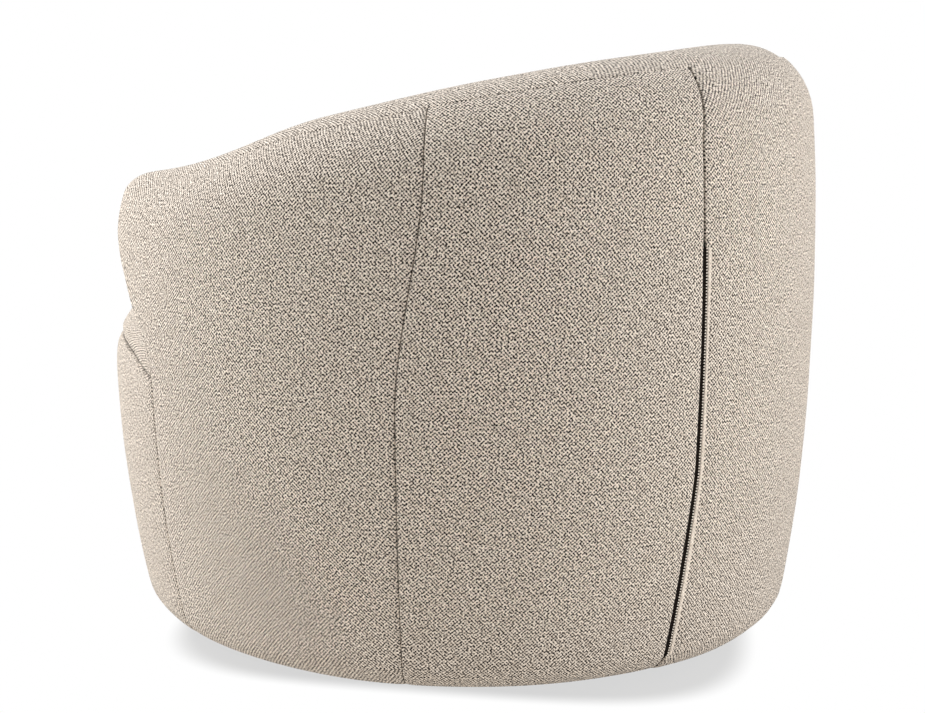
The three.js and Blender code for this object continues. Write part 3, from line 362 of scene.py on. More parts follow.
def wall_grid(plan_angles, line, sideways=None):
    """The points of a cover that follows the wall through a list of plan angles."""
    rows = []
    for i, station in enumerate(plan_angles):
        r, z, level = line(station)
        far = abs(station) + seam_shift(station, level)
        slip = sideways(i, z) / r if sideways else 0
        a = np.radians(math.copysign(1, station) * far) + slip
        rows.append(np.stack([r * np.sin(a), r * np.cos(a), z], axis=-1))
    return np.array(rows)


def runs(grid, axis):
    """Distances along a grid from its first edge and from its last."""
    steps = np.linalg.norm(np.diff(grid, axis=axis), axis=2)
    before = [(0, 0), (0, 0)]
    before[axis] = (1, 0)
    first = np.pad(np.cumsum(steps, axis=axis), before)
    return first, first.take([-1], axis=axis) - first


def grid_normals(grid):
    """Outward normals of a grid whose rows follow the plan angle and whose columns go up
    outside."""
    normal = np.cross(np.gradient(grid, axis=1), np.gradient(grid, axis=0))
    return normal / np.maximum(np.linalg.norm(normal, axis=2, keepdims=True), SMALLEST)


def undulation(points, size):
    """Smooth noise from -1 to 1 at points, with waves of a size in millimetres. It is one field
    in space, so that neighbouring covers meet."""
    flat = points.reshape(-1, 3) / size
    return np.array([noise.noise(Vector(p)) for p in flat]).reshape(points.shape[:-1])


def sewn(look, grid, seams):
    """A cover's grid with its seamed edges drawn in and the cloth between them softly uneven.
    seams says how tightly each edge is sewn, from 0 to 1: first, last, low and high."""
    sink = np.zeros(grid.shape[:2])
    for away, held in zip((*runs(grid, 0), *runs(grid, 1)), seams):
        crease = SEAM_SINK * np.exp(-((away / SEAM_NARROW) ** 2))
        roll = SEAM_ROLL * np.exp(-((away / SEAM_BROAD) ** 2))
        sink = np.maximum(sink, held * (crease + roll))
    puff = look.unevenness / MM * undulation(grid, PUFF_SIZE)
    return grid + grid_normals(grid) * (puff - sink)[..., None]


def cloth_map(grid, straight, start):
    """Where each point lies on the flat cloth, in millimetres. straight is the row that lies
    straight up the cloth, and start is where its foot lies."""
    across, _ = runs(grid, 0)
    up, _ = runs(grid, 1)
    return np.stack([across - across[straight], up], axis=-1) + np.array(start)


def grid_faces(across, up, closed=False):
    """Faces of a grid of points, wound to face outwards."""
    index = np.arange(across * up).reshape(across, up)
    if closed:
        index = np.vstack([index, index[:1]])
    corners = [index[:-1, :-1], index[:-1, 1:], index[1:, 1:], index[1:, :-1]]
    return np.stack(corners, axis=-1).reshape(-1, 4)


def mesh_object(name, points, faces, flat=None):
    """A smooth mesh from points in millimetres, with its place on the cloth where it has one."""
    mesh = bpy.data.meshes.new(name)
    mesh.from_pydata((np.asarray(points).reshape(-1, 3) * MM).tolist(), [], faces.tolist())
    if flat is not None:
        layer = mesh.uv_layers.new(name=CLOTH_MAP)
        corners = flat.reshape(-1, 2)[np.asarray(faces).reshape(-1)] * MM
        layer.data.foreach_set("uv", corners.astype(np.float32).ravel())
    mesh.shade_smooth()
    made = bpy.data.objects.new(name, mesh)
    bpy.context.scene.collection.objects.link(made)
    return made


def mirrored(grid):
    """The same grid on the chair's other side, its rows still following the plan angle."""
    return grid[::-1] * np.array([-1, 1, 1])


def on_side(side, grid, seams):
    """A left-hand grid and its seams as they are on that side of the chair."""
    if side == "left":
        return grid, seams
    first, last, low, high = (np.flip(held, 0) if np.ndim(held) else held for held in seams)
    return mirrored(grid), (last, first, low, high)


def nose_row(side, grid):
    """The row of a front side panel that meets the arm's front."""
    return len(grid) - 1 if side == "left" else 0


def dress(piece, material, body, slot, *replaced):
    """Gives a piece its material and its body, and hides the solids that it stands for. Its slot
    is not used.
    """
    piece.data.materials.clear()
    piece.data.materials.append(material)
    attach(piece, body)
    if replaced:
        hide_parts(*replaced)


# Materials

# The tweed's yarns and gaps, in millimetres or as levels of its relief
WAVER = (8, 8, 8)  # how far apart the yarns' bends are
YARN_DRIFT = 1.6  # how far the yarns stray
WEFT_SHARE = 0.52  # how much of the relief one set of floats makes
FIBRE = (2.3, 2.3, 2.3)
STREAK = (24, 3.5, 3.5)  # length and width of a stretch of one yarn's colour
GAP_RANGE = (0.18, 0.78)  # from the floor of a gap to the top of a yarn, over which the gaps' painted shade fades
PRESSED_RANGE = (-2.0, 1.2)
PRESSED_THICKNESS = 0.3
ONE_WAVE = math.pi / 10  # the wave texture's scale for one wave to a unit

# The other finishes' patterns: sizes and depths in millimetres, and shades of their colours
FIBRE_SHADES = (0.6, 1.2)
GRAIN = (8, 60, 60)
GRAIN_DEPTH = 0.1
GRAIN_SHADE = 0.7
PLIES = (60, 60, 3)
PLY_SHARE = 0.3
PLY_SHADE = 0.45
RUBBED = (45, 45, 45)
GRIT_DEPTH = 0.03


def add_node(tree, kind, inputs=None, **settings):
    """Adds a shader node with its settings. An input takes a value, an output or another node,
    which gives its first output."""
    made = tree.nodes.new("ShaderNode" + kind)
    for name, value in settings.items():
        setattr(made, name, value)
    for key, value in (inputs or {}).items():
        by_name = (s for s in made.inputs if s.name == key and s.enabled)
        socket = made.inputs[key] if isinstance(key, int) else next(by_name)
        if isinstance(value, bpy.types.Node):
            value = next(s for s in value.outputs if s.enabled)
        if isinstance(value, bpy.types.NodeSocket):
            tree.links.new(value, socket)
        else:
            socket.default_value = value
    return made


def new_material(name):
    """A new material without nodes, and its node tree."""
    made = bpy.data.materials.new(name)
    made.use_nodes = True
    made.node_tree.nodes.clear()
    return made, made.node_tree


def opaque(colour, shade=1.0):
    """A colour with its alpha, darkened or lightened by a factor."""
    return (*(c * shade for c in colour), 1)


def cells(*lengths):
    """How many times a pattern of these lengths in millimetres repeats in a metre."""
    return tuple(1 / (length * MM) for length in lengths)


def surface(tree, inputs):
    """Ends a material's nodes with its surface."""
    shader = add_node(tree, "BsdfPrincipled", inputs)
    add_node(tree, "OutputMaterial", {"Surface": shader})


def tweed(look, pressed=False):
    """Wool-blend tweed, woven: floats crossing on the bias, cream and grey-brown, with painted
    shade, near black, in the gaps between them and stray fibres over them. Pressed flat, it is
    smoother and its gaps close."""
    material, tree = new_material("Pressed wool tweed" if pressed else "Woven wool tweed")
    cloth = add_node(tree, "UVMap", uv_map=CLOTH_MAP)
    at = add_node(tree, "Mapping", {"Vector": cloth, "Scale": cells(*WAVER)})
    waver = add_node(tree, "TexNoise", {"Vector": at, "Scale": 1, "Detail": 1})
    centred = add_node(tree, "VectorMath", {0: waver.outputs["Color"], 1: (0.5, 0.5, 0.5)},
                       operation="SUBTRACT")
    drift = add_node(tree, "VectorMath", {0: centred, "Scale": YARN_DRIFT * MM},
                     operation="SCALE")
    bent = add_node(tree, "VectorMath", {0: cloth, 1: drift}, operation="ADD")
    turned_map = add_node(tree, "Mapping", {"Vector": bent, "Rotation": (0, 0, look.weave_turn)})
    pitch = look.weave_pitch / MM
    counted = add_node(tree, "Mapping", {"Vector": turned_map,
                                         "Scale": cells(pitch, pitch, pitch)})
    weft = add_node(tree, "TexWave", {"Vector": counted, "Scale": ONE_WAVE}, bands_direction="Y")
    warp = add_node(tree, "TexWave", {"Vector": counted, "Scale": ONE_WAVE}, bands_direction="X")
    weft_part = add_node(tree, "Math", {0: weft.outputs["Fac"], 1: WEFT_SHARE},
                         operation="MULTIPLY")
    weave = add_node(tree, "Math", {0: warp.outputs["Fac"], 1: 1 - WEFT_SHARE, 2: weft_part},
                     operation="MULTIPLY_ADD")
    at = add_node(tree, "Mapping", {"Vector": cloth, "Scale": cells(*FIBRE)})
    fibre = add_node(tree, "TexNoise", {"Vector": at, "Scale": 1, "Detail": 2, "Roughness": 0.6})
    stray = add_node(tree, "Math", {0: fibre, 1: 0.5}, operation="SUBTRACT")
    hairy = add_node(tree, "Math", {0: stray, 1: look.hairiness, 2: weave},
                     operation="MULTIPLY_ADD")
    low, high = PRESSED_RANGE if pressed else GAP_RANGE
    raised = add_node(tree, "MapRange", {"Value": hairy, "From Min": low, "From Max": high})
    at = add_node(tree, "Mapping", {"Vector": turned_map, "Scale": cells(*STREAK)})
    streak = add_node(tree, "TexNoise", {"Vector": at, "Scale": 1, "Detail": 2})
    yarn = add_node(tree, "Mix", {"Factor": streak, "A": opaque(look.dark_yarn),
                                  "B": opaque(look.light_yarn)}, data_type="RGBA")
    # Painted shade: the gaps between the yarns are coloured near black
    colour = add_node(tree, "Mix", {"Factor": raised, "A": opaque(look.gap), "B": yarn},
                      data_type="RGBA")
    thick = look.weave_height * (PRESSED_THICKNESS if pressed else 1)
    bump = add_node(tree, "Bump", {"Height": hairy, "Distance": thick})
    surface(tree, {"Base Color": colour, "Roughness": 0.95, "Normal": bump, "IOR": 1.5,
                   "Specular IOR Level": 0.2, "Sheen Weight": 0.1, "Sheen Roughness": 0.5})
    return material


def fibrous(name, colour, fibre, thickness, roughness=0.9):
    """Woven or bonded fibres and pressed fibreboard: dull, with fibres that catch the light.
    The fibres are drawn a millimetre wide or more so that they show."""
    material, tree = new_material(name)
    point = add_node(tree, "TexCoord").outputs["Object"]
    at = add_node(tree, "Mapping", {"Vector": point, "Scale": cells(*fibre)})
    fibres = add_node(tree, "TexNoise", {"Vector": at, "Scale": 1, "Detail": 4, "Roughness": 0.7})
    share = add_node(tree, "MapRange", {"Value": fibres, "From Min": 0.3, "From Max": 0.7})
    dark, light = FIBRE_SHADES
    shade = add_node(tree, "Mix", {"Factor": share, "A": opaque(colour, dark),
                                   "B": opaque(colour, light)}, data_type="RGBA")
    bump = add_node(tree, "Bump", {"Height": fibres, "Distance": thickness * MM})
    surface(tree, {"Base Color": shade, "Roughness": roughness, "Normal": bump,
                   "Specular IOR Level": 0.25})
    return material


def sawn_plywood(look):
    """Birch plywood, sawn: pale grain in bands some 8 mm apart, over plies 1.5 mm thick."""
    material, tree = new_material("Sawn birch plywood")
    point = add_node(tree, "TexCoord").outputs["Object"]
    at = add_node(tree, "Mapping", {"Vector": point, "Scale": cells(*GRAIN)})
    grain = add_node(tree, "TexWave", {"Vector": at, "Scale": ONE_WAVE, "Distortion": 4,
                                       "Detail": 2})
    at = add_node(tree, "Mapping", {"Vector": point, "Scale": cells(*PLIES)})
    plies = add_node(tree, "TexWave", {"Vector": at, "Scale": ONE_WAVE}, bands_direction="Z")
    ply_share = add_node(tree, "Math", {0: plies.outputs["Fac"], 1: PLY_SHARE},
                         operation="MULTIPLY")
    face = add_node(tree, "Mix", {"Factor": grain.outputs["Fac"],
                                  "A": opaque(look.plywood, GRAIN_SHADE),
                                  "B": opaque(look.plywood)}, data_type="RGBA")
    colour = add_node(tree, "Mix", {"Factor": ply_share, "A": face,
                                    "B": opaque(look.plywood, PLY_SHADE)}, data_type="RGBA")
    bump = add_node(tree, "Bump", {"Height": grain.outputs["Fac"], "Distance": GRAIN_DEPTH * MM})
    surface(tree, {"Base Color": colour, "Roughness": 0.7, "Normal": bump})
    return material


def coated(name, colour, roughness, grit, metallic=0.0, wear=0.1):
    """Steel or nylon with a fine grit in its gloss and faint rubbed patches. The grit is drawn a
    millimetre wide or more so that it shows."""
    material, tree = new_material(name)
    point = add_node(tree, "TexCoord").outputs["Object"]
    at = add_node(tree, "Mapping", {"Vector": point, "Scale": cells(grit, grit, grit)})
    fine = add_node(tree, "TexNoise", {"Vector": at, "Scale": 1, "Detail": 3})
    at = add_node(tree, "Mapping", {"Vector": point, "Scale": cells(*RUBBED)})
    patches = add_node(tree, "TexNoise", {"Vector": at, "Scale": 1, "Detail": 3})
    worn = add_node(tree, "Mix", {"Factor": patches, "A": opaque(colour, 1 - wear),
                                  "B": opaque(colour, 1 + wear)}, data_type="RGBA")
    rough = add_node(tree, "Math", {0: patches, 1: wear, 2: roughness}, operation="MULTIPLY_ADD")
    bump = add_node(tree, "Bump", {"Height": fine, "Distance": GRIT_DEPTH * MM})
    surface(tree, {"Base Color": worn, "Roughness": rough, "Normal": bump, "Metallic": metallic})
    return material


FINISHES = {
    "tweed": tweed,
    "plywood": sawn_plywood,
    "fibreboard": lambda look: fibrous("Pressed fibreboard", look.fibreboard,
                                       fibre=(6, 6, 2), thickness=0.1, roughness=0.8),
    "webbing": lambda look: fibrous("Woven elastic webbing", look.webbing,
                                    fibre=(30, 2, 2), thickness=0.5),
    "lining": lambda look: fibrous("Spunbonded polypropylene", look.lining,
                                   fibre=(2.5, 2.5, 2.5), thickness=0.1),
    "pressed_tweed": lambda look: tweed(look, pressed=True),
    "zip": lambda look: coated("Moulded nylon coil", look.zip, roughness=0.5, grit=1.0),
    "zip_tape": lambda look: fibrous("Woven polyester tape", look.zip_tape,
                                     fibre=(1, 1, 1), thickness=0.2),
    "nylon": lambda look: coated("Moulded nylon", look.nylon, roughness=0.45, grit=2.0),
    "black_steel": lambda look: coated("Powder-coated steel", look.black_steel,
                                       roughness=0.5, grit=1.5),
    "zinc_steel": lambda look: coated("Zinc-plated steel", look.zinc_steel,
                                      roughness=0.35, grit=3.0, metallic=1.0),
    "ball_steel": lambda look: coated("Polished chrome steel", look.ball_steel,
                                      roughness=0.12, grit=9.0, metallic=1.0, wear=0.05),
}
made_finishes = {}


def finish(look, name):
    """The material of a finish, made the first time it is asked for."""
    if name not in made_finishes:
        made_finishes[name] = FINISHES[name](look)
    return made_finishes[name]


# The user's sizes and colours

def length(name, description, default):
    """A length that the user can set, with its default in millimetres."""
    return FloatProperty(name=name, description=description, default=default * MM,
                         subtype="DISTANCE", unit="LENGTH", precision=4)


def colour(name, description, default):
    """A colour that the user can set, with its default as sRGB hex."""
    return FloatVectorProperty(name=name, description=description, default=linear(default),
                               size=3, subtype="COLOR", min=0, max=1)


class ChairLook(PropertyGroup):
    """Cloth, padding and frame."""

    light_yarn: colour("Light yarn", "Colour of the cream yarns", "#FDF3E7")
    dark_yarn: colour("Dark yarn", "Colour of the grey-brown yarns", "#CDBEAE")
    # Painted shade, near black, deep between the yarns
    gap: colour("Gap", "Colour deep between the yarns", "#160E09")
    plywood: colour("Plywood", "Colour of the plywood's face", "#D9BC8C")
    fibreboard: colour("Fibreboard", "Colour of the fibreboard", "#8B6C4C")
    webbing: colour("Webbing", "Colour of the seat's straps", "#3A3532")
    lining: colour("Dust cover", "Colour of the cloth under the seat", "#1E1D1D")
    zip: colour("Zip coil", "Colour of the zip's coil", "#EFE6DA")
    # The zip tape's near-black colour is partly its own and partly painted shade deep in the zip's
    # slot
    zip_tape: colour("Zip tape", "Colour of the zip's tape", "#1A120C")
    nylon: colour("Nylon", "Colour of the glides and the ball cage", "#26262A")
    black_steel: colour("Black steel", "Colour of the base's powder coat", "#1B1B1C")
    zinc_steel: colour("Zinc", "Colour of the plated plates and bolts", "#B9BBBD")
    ball_steel: colour("Ball steel", "Colour of the bearing balls", "#CFCFCF")
    weave_pitch: length("Weave pitch", "Distance between two rows of floats", 2.95)
    weave_turn: FloatProperty(name="Weave turn", description="Angle of the weave to the hem",
                              default=math.radians(-46), subtype="ANGLE", unit="ROTATION")
    weave_height: length("Weave height", "How far the yarns stand above the gaps", 0.5)
    hairiness: FloatProperty(name="Hairiness", description="How strongly stray fibres show",
                             default=3.0, min=0)
    unevenness: length("Unevenness", "How far the padding swells and dips", 0.9)


class StageLook(PropertyGroup):
    """Lights and floor."""

    floor: colour("Floor", "Colour of the floor", "#F3EFE9")
    # How pale the painted shadow is: the share of plain white in its grey
    painted_shadow_paleness: FloatProperty(name="Shadow paleness", description="How pale the shadow is",
                                   default=0.66, min=0, max=1, subtype="FACTOR")
    front_light: FloatProperty(name="Front light", description="Power of the light ahead",
                               default=129, min=0, unit="POWER")
    back_light: FloatProperty(name="Back light", description="Power of the light behind",
                              default=76, min=0, unit="POWER")
    top_light: FloatProperty(name="Top light", description="Power of the light above",
                             default=38, min=0, unit="POWER")
    world_light: FloatProperty(name="World light", description="Strength of the light all round",
                               default=0.18, min=0)


# Covers

WALL_STEP = 2.2  # degrees between a cover's rows away from its seams
UP_STEPS = 64  # rows up a cover's outside
OVER_STEPS = 60  # and over the rim and down the inside
BACK_FULLNESS = 3.0  # how far the back panel stands out in its middle
ZIP_SLOT_AHEAD = 0.9  # how far each panel stands back from the middle of its zip
ZIP_SLOT_BEHIND = 5.0
SEAM_FADE = 8.0  # over what height a seam ends
CREST_FADE = 45.0
TOP_SEAM_HOLD = 0.25  # the rim's seam and the inside seams are pressed open and hardly show
INSIDE_HOLD = 0.6
LEAST_HOLD = 0.2


def cover(name, look, grid, seams, replaced, straight=None, start=(0, 0)):
    """A sewn tweed cover with its padding, in place of its solids. The cloth lies straight along
    the grid's middle row if not told."""
    shaped = sewn(look, grid, seams)
    row = len(grid) // 2 if straight is None else straight
    piece = mesh_object(name, shaped, grid_faces(*grid.shape[:2]), cloth_map(grid, row, start))
    dress(piece, finish(look, "tweed"), "seat", "tweed", *replaced)


def zip_opening(z):
    """How far the zip's seam has opened at a height, from 0 to 1."""
    below = np.clip((ZIP_TOP - z) / ZIP_TAPER, 0, 1)
    above = np.clip((z - ZIP_FOOT + ZIP_TAPER) / ZIP_TAPER, 0, 1)
    return np.minimum(below, above)


def outer_grid(start, end, first_zip=0, last_zip=0):
    """One panel of the outside. Its first and last edges stand back from their zips."""
    angles = stations(start, end, WALL_STEP)
    keep = 1 - np.array(EDGE_STEPS) / EDGE_STEPS[-1]
    shares = np.zeros(len(angles))
    shares[: len(keep)] = first_zip * keep
    shares[-len(keep) :] -= last_zip * keep[::-1]
    return wall_grid(angles, lambda a: respaced(outer_line(a), UP_STEPS, low_seam=False),
                     lambda i, z: shares[i] * zip_opening(z))


def above_cushion(grid):
    """1 where a grid stands above the cushion's corner, and 0 below it."""
    return np.clip((grid[..., 2] - CORNER_SEAM) / SEAM_FADE, 0, 1)


def outer_covers(look):
    """The back and side panels outside."""
    grid = outer_grid(-ZIP_SEAM, ZIP_SEAM, ZIP_SLOT_BEHIND, ZIP_SLOT_BEHIND)
    full = BACK_FULLNESS * np.sin(np.linspace(0, math.pi, len(grid)))[:, None, None]
    cover("outer_back", look, grid + grid_normals(grid) * full, (1, 1, 0, TOP_SEAM_HOLD),
          ("outer_back_cover", "outer_back_pad"))
    rear = outer_grid(ZIP_SEAM, SIDE_SEAM, first_zip=ZIP_SLOT_AHEAD)
    front = outer_grid(SIDE_SEAM, FRONT_SEAM)
    held = 1 - above_cushion(front)
    for side in ("left", "right"):
        grid, seams = on_side(side, rear, (1, 1, 0, TOP_SEAM_HOLD))
        cover(f"rear_side_{side}", look, grid, seams, (f"rear_side_cover_{side}",))
        grid, seams = on_side(side, front, (1, held, 0, TOP_SEAM_HOLD))
        cover(f"front_side_{side}", look, grid, seams,
              (f"front_side_cover_{side}", f"side_pad_{side}"), nose_row(side, grid))


def border_grid():
    """The grid of the front below the cushion, from one arm to the other."""
    angles = stations(FRONT_SEAM, 180, WALL_STEP, last_seam=False)
    rows = wall_grid(angles, lambda a: respaced(border_line(a), UP_STEPS, low_seam=False))
    return np.concatenate([rows, mirrored(rows)[1:]])


def front_border(look):
    """The front below the cushion."""
    cover("front_border", look, border_grid(), (1, 1, 0, 1),
          ("front_border_cover", "front_pad"))


def inside_hold(grid):
    """How tightly an inside seam is sewn: pressed open over the rim, tighter down the inside."""
    down = grid[..., 2].max(axis=1, keepdims=True) - grid[..., 2]
    past_crest = np.arange(grid.shape[1]) > grid[..., 2].argmax(axis=1)[:, None]
    return INSIDE_HOLD * np.clip(down * past_crest / CREST_FADE, LEAST_HOLD, 1)


def inside_covers(look):
    """The covers over the rim and down the inside of the back and arms."""

    def line(angle):
        return respaced(inner_line(angle), OVER_STEPS, high_seam=False)

    back = wall_grid(stations(-INSIDE_SEAM, INSIDE_SEAM, WALL_STEP), line)
    held = inside_hold(back)
    cover("inside_back", look, back, (held, held, TOP_SEAM_HOLD, 0),
          ("inside_back_cover", "inside_back_foam"))
    arm = wall_grid(stations(INSIDE_SEAM, FRONT_SEAM, WALL_STEP), line)
    for side in ("left", "right"):
        grid, seams = on_side(side, arm, (inside_hold(arm), 0, TOP_SEAM_HOLD, 0))
        cover(f"inside_arm_{side}", look, grid, seams,
              (f"inside_arm_cover_{side}", f"arm_foam_{side}"))


# Arm fronts

NOSE_FOOT = CORNER_SEAM + 1.5
NOSE_TIP_SHARE = 0.8  # where its two faces start to close
NOSE_STEPS = 26
NOSE_FACE_POINTS = 44
NOSE_ROLL_POINTS = 16
NOSE_ROWS = 110
NOSE_PUFF = 6.0  # how far the arm's front swells out at its fullest height
NOSE_PUFF_AT = 525.0
NOSE_PUFF_REACH = 45.0


def nose_line(share):
    """The arm's front at a share of the way to its tip: up outside, over the roll and down
    inside. Radii, heights and plan angles."""
    at = FRONT_SEAM + (NOSE - FRONT_SEAM) * share
    roll = roll_at(at)
    low = np.linspace(NOSE_FOOT, roll["top"] - roll["outer_height"], NOSE_FACE_POINTS)
    far_low = FRONT_SEAM + (nose_end(low) - FRONT_SEAM) * share
    over_r, over_z = outer_roll(at, np.linspace(0, 90, NOSE_ROLL_POINTS)[1:])
    in_r, in_z = inner_roll(at, np.linspace(90, 0, NOSE_ROLL_POINTS)[1:-1])
    inner_top = roll["top"] - roll["inner_height"]
    down = np.linspace(inner_top, NOSE_FOOT, NOSE_FACE_POINTS)
    far_down = FRONT_SEAM + (nose_end(down) - FRONT_SEAM) * share
    inner = inner_face(far_down, down, inner_top)
    r = np.concatenate([outer_radius(far_low, low), over_r, in_r, inner])
    z = np.concatenate([low, over_z, in_z, down])
    over = np.full(len(over_r) + len(in_r), at)
    return r, z, np.concatenate([far_low, over, far_down])


def nose_grid():
    """The arm's front as a grid whose rows close to a rounded edge at its tip."""
    rows = []
    closing = np.sin(np.linspace(0, math.pi / 2, NOSE_STEPS))
    for share in np.concatenate([np.linspace(0, NOSE_TIP_SHARE, NOSE_STEPS)[:-1],
                                 NOSE_TIP_SHARE + (1 - NOSE_TIP_SHARE) * closing]):
        r, z, angle = nose_line(share)
        run = distances(r, z)
        even = np.linspace(0, run[-1], NOSE_ROWS)
        r, z, angle = (np.interp(even, run, values) for values in (r, z, angle))
        past = max(0, (share - NOSE_TIP_SHARE) / (1 - NOSE_TIP_SHARE))
        open_share = math.sqrt(max(0, 1 - past**2))
        a = np.radians(angle)
        points = np.stack([r * np.sin(a), r * np.cos(a), z], axis=-1)
        twin = points[::-1]
        rows.append(points + (twin - points) * (1 - open_share) / 2)
    grid = np.array(rows)
    near = np.exp(-(((grid[..., 2] - NOSE_PUFF_AT) / NOSE_PUFF_REACH) ** 2))
    along = np.sin(np.linspace(0, math.pi / 2, len(grid)))[:, None]
    return grid + grid_normals(grid) * (NOSE_PUFF * near * along)[..., None]


def arm_fronts(look):
    """The rounded fronts of the arms, which rest on the cushion's corners."""
    r, z, _ = outer_line(FRONT_SEAM)
    run = distances(r, z)
    foot = float(np.interp(NOSE_FOOT, z, run))
    nose = nose_grid()
    for side in ("left", "right"):
        grid, seams = on_side(side, nose, (0, 0, 1, 1))
        straight = 0 if side == "left" else len(grid) - 1
        cover(f"arm_front_{side}", look, grid, seams, (f"arm_front_cover_{side}",),
              straight, (0, foot))


# Cushion

# Where the cushion's corner shows past the arm: heights and plan angles
CORNER_LINE = ((345.7, 133.9), (363.8, 134.3), (398.1, 136.6), (420.6, 139.2), (445.2, 143))
CUSHION_START_INSET = 3.0  # how much smaller the cushion is before it swells
CUSHION_SIDE_GAP = 1.0
BESIDE_POINTS = 46
CORNER_POINTS = 9
AHEAD_POINTS = 26
SIDE_RINGS = 12
SKIRT_START = FRONT_SEAM - 1  # plan angle at which the cushion's front begins
SKIRT_COVERED = 3.0  # how far it runs on down behind the border
SKIRT_TURN = 5.0
SKIRT_TUCK = 12.0
SKIRT_DEPTH = 26.0
SKIRT_FADE = 16.0
CUSHION_VOXEL = 6.0
SIDE_SWELL = 3.5  # the most that the sides and the crown swell
TOP_SWELL = 11.0
MOST_INWARD = 0.5  # and the most that any point draws in
PRESSURE = 4
CLOTH_QUALITY = 5
LAST_FRAME = 20


def corner_angle(z):
    """Plan angle of the cushion's corner at a height."""
    heights, angles = zip(*CORNER_LINE)
    return float(np.interp(z, heights, angles))


def cushion_ring(z, reach):
    """One level of the cushion: along the arms, out along the noses and round the front. reach
    is its size as a share of the whole."""
    inset = CUSHION_START_INSET
    corner = corner_angle(z) + math.degrees(inset / HALF_WIDTH)
    beside = np.linspace(0, corner, BESIDE_POINTS)
    side_r = (room_radius(beside, 0) - CUSHION_SIDE_GAP) * reach - inset
    ahead = np.linspace(corner, 180, AHEAD_POINTS)
    pull = front_pull(ahead) * np.clip((CUSHION_CROWN - z) / (CUSHION_CROWN - CUSHION_EDGE), 0, 1)
    front_r = outer_radius(ahead, z) * reach - inset - np.where(reach < 1, 0, pull)
    out = np.linspace(side_r[-1], front_r[0], CORNER_POINTS)[1:-1]
    a = np.radians(np.concatenate([beside, np.full(len(out), corner), ahead]))
    r = np.concatenate([side_r, out, front_r])
    half = np.stack([r * np.sin(a), r * np.cos(a), np.full(len(r), z)], axis=-1)
    return np.concatenate([half, mirrored(half)[1:-1]])


def cushion_start(look):
    """The cushion before it swells, a little smaller than its solid."""
    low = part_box("seat_cushion_foam")[0].z / MM
    head = CUSHION_CROWN - CUSHION_START_INSET
    rings = [cushion_ring(z, 1) for z in np.linspace(low, CUSHION_EDGE, SIDE_RINGS)[:-1]]
    rings += [cushion_ring(CUSHION_EDGE + (head - CUSHION_EDGE) * rise, reach)
              for reach, rise in CROWN]
    points = np.array(rings)
    count = points.shape[1]
    faces = [list(face) for face in grid_faces(len(rings), count)]
    for row in range(len(rings) - 1):
        first, last = row * count, row * count + count - 1
        faces.append([last, first, first + count, last + count])
    top = (len(rings) - 1) * count
    flat = list(points.reshape(-1, 3)) + [[0, 0, low], [0, 0, head]]
    middle_low, middle_high = len(flat) - 2, len(flat) - 1
    for i in range(count):
        j = (i + 1) % count
        faces.append([middle_low, i, j])
        faces.append([middle_high, top + j, top + i])
    mesh = bpy.data.meshes.new("seat_cushion")
    mesh.from_pydata([[c * MM for c in p] for p in flat], [], faces)
    shape = bmesh.new()
    shape.from_mesh(mesh)
    bmesh.ops.recalc_face_normals(shape, faces=shape.faces)
    shape.to_mesh(mesh)
    shape.free()
    made = bpy.data.objects.new("seat_cushion", mesh)
    bpy.context.scene.collection.objects.link(made)
    return made


def apply_modifiers(piece):
    """Makes a piece's modifiers part of its mesh."""
    shown = piece.evaluated_get(bpy.context.evaluated_depsgraph_get())
    mesh = bpy.data.meshes.new_from_object(shown)
    piece.modifiers.clear()
    old, piece.data = piece.data, mesh
    bpy.data.meshes.remove(old)


def points_of(mesh):
    """A mesh's points in millimetres."""
    flat = np.empty(len(mesh.vertices) * 3)
    mesh.vertices.foreach_get("co", flat)
    return flat.reshape(-1, 3) / MM


def swell(piece, hold, most):
    """Fills a closed cover by a cloth simulation. hold says which points are fixed, and most how
    far each point may move, in millimetres."""
    group = piece.vertex_groups.new(name="fixed")
    group.add([int(i) for i in np.nonzero(hold)[0]], 1.0, "REPLACE")
    cloth = piece.modifiers.new("swell", "CLOTH")
    cloth.settings.use_pressure = True
    cloth.settings.uniform_pressure_force = PRESSURE
    cloth.settings.vertex_group_mass = group.name
    cloth.settings.quality = CLOTH_QUALITY
    cloth.settings.effector_weights.gravity = 0
    cloth.collision_settings.use_collision = False
    cloth.point_cache.frame_start = 1
    cloth.point_cache.frame_end = LAST_FRAME
    before = points_of(piece.data)
    for frame_number in range(1, LAST_FRAME + 1):
        bpy.context.scene.frame_set(frame_number)
    apply_modifiers(piece)
    moved = points_of(piece.data) - before
    normals = np.empty(len(piece.data.vertices) * 3)
    piece.data.vertex_normals.foreach_get("vector", normals)
    outward = np.sum(moved * normals.reshape(-1, 3), axis=1)
    limit = np.where(outward > 0, most, MOST_INWARD)
    far = np.linalg.norm(moved, axis=1)
    moved = moved * np.minimum(1, limit / np.maximum(far, SMALLEST))[:, None]
    piece.data.vertices.foreach_set("co", ((before + moved) * MM).ravel())
    piece.vertex_groups.clear()
    bpy.context.scene.frame_set(1)


def tuck_skirt(points):
    """Draws the cushion's front in at the seam and below it, where the border holds it."""
    angle = np.degrees(np.arctan2(np.abs(points[:, 0]), points[:, 1]))
    radius = np.hypot(points[:, 0], points[:, 1])
    seam = front_seam_height(angle)
    behind = outer_radius(angle, points[:, 2]) - radius
    near_front = np.clip((SKIRT_DEPTH - behind) / SKIRT_FADE, 0, 1)
    above = np.maximum(points[:, 2] - seam, 0)
    below = np.clip((seam - SKIRT_COVERED - points[:, 2]) / SKIRT_TURN, 0, 1)
    roll = SEAM_ROLL * np.exp(-((above / SEAM_BROAD) ** 2))
    draw = (roll + SKIRT_TUCK * below) * near_front * (angle > SKIRT_START)
    return points * (1 - (draw / np.maximum(radius, 1))[:, None] * np.array([1, 1, 0]))


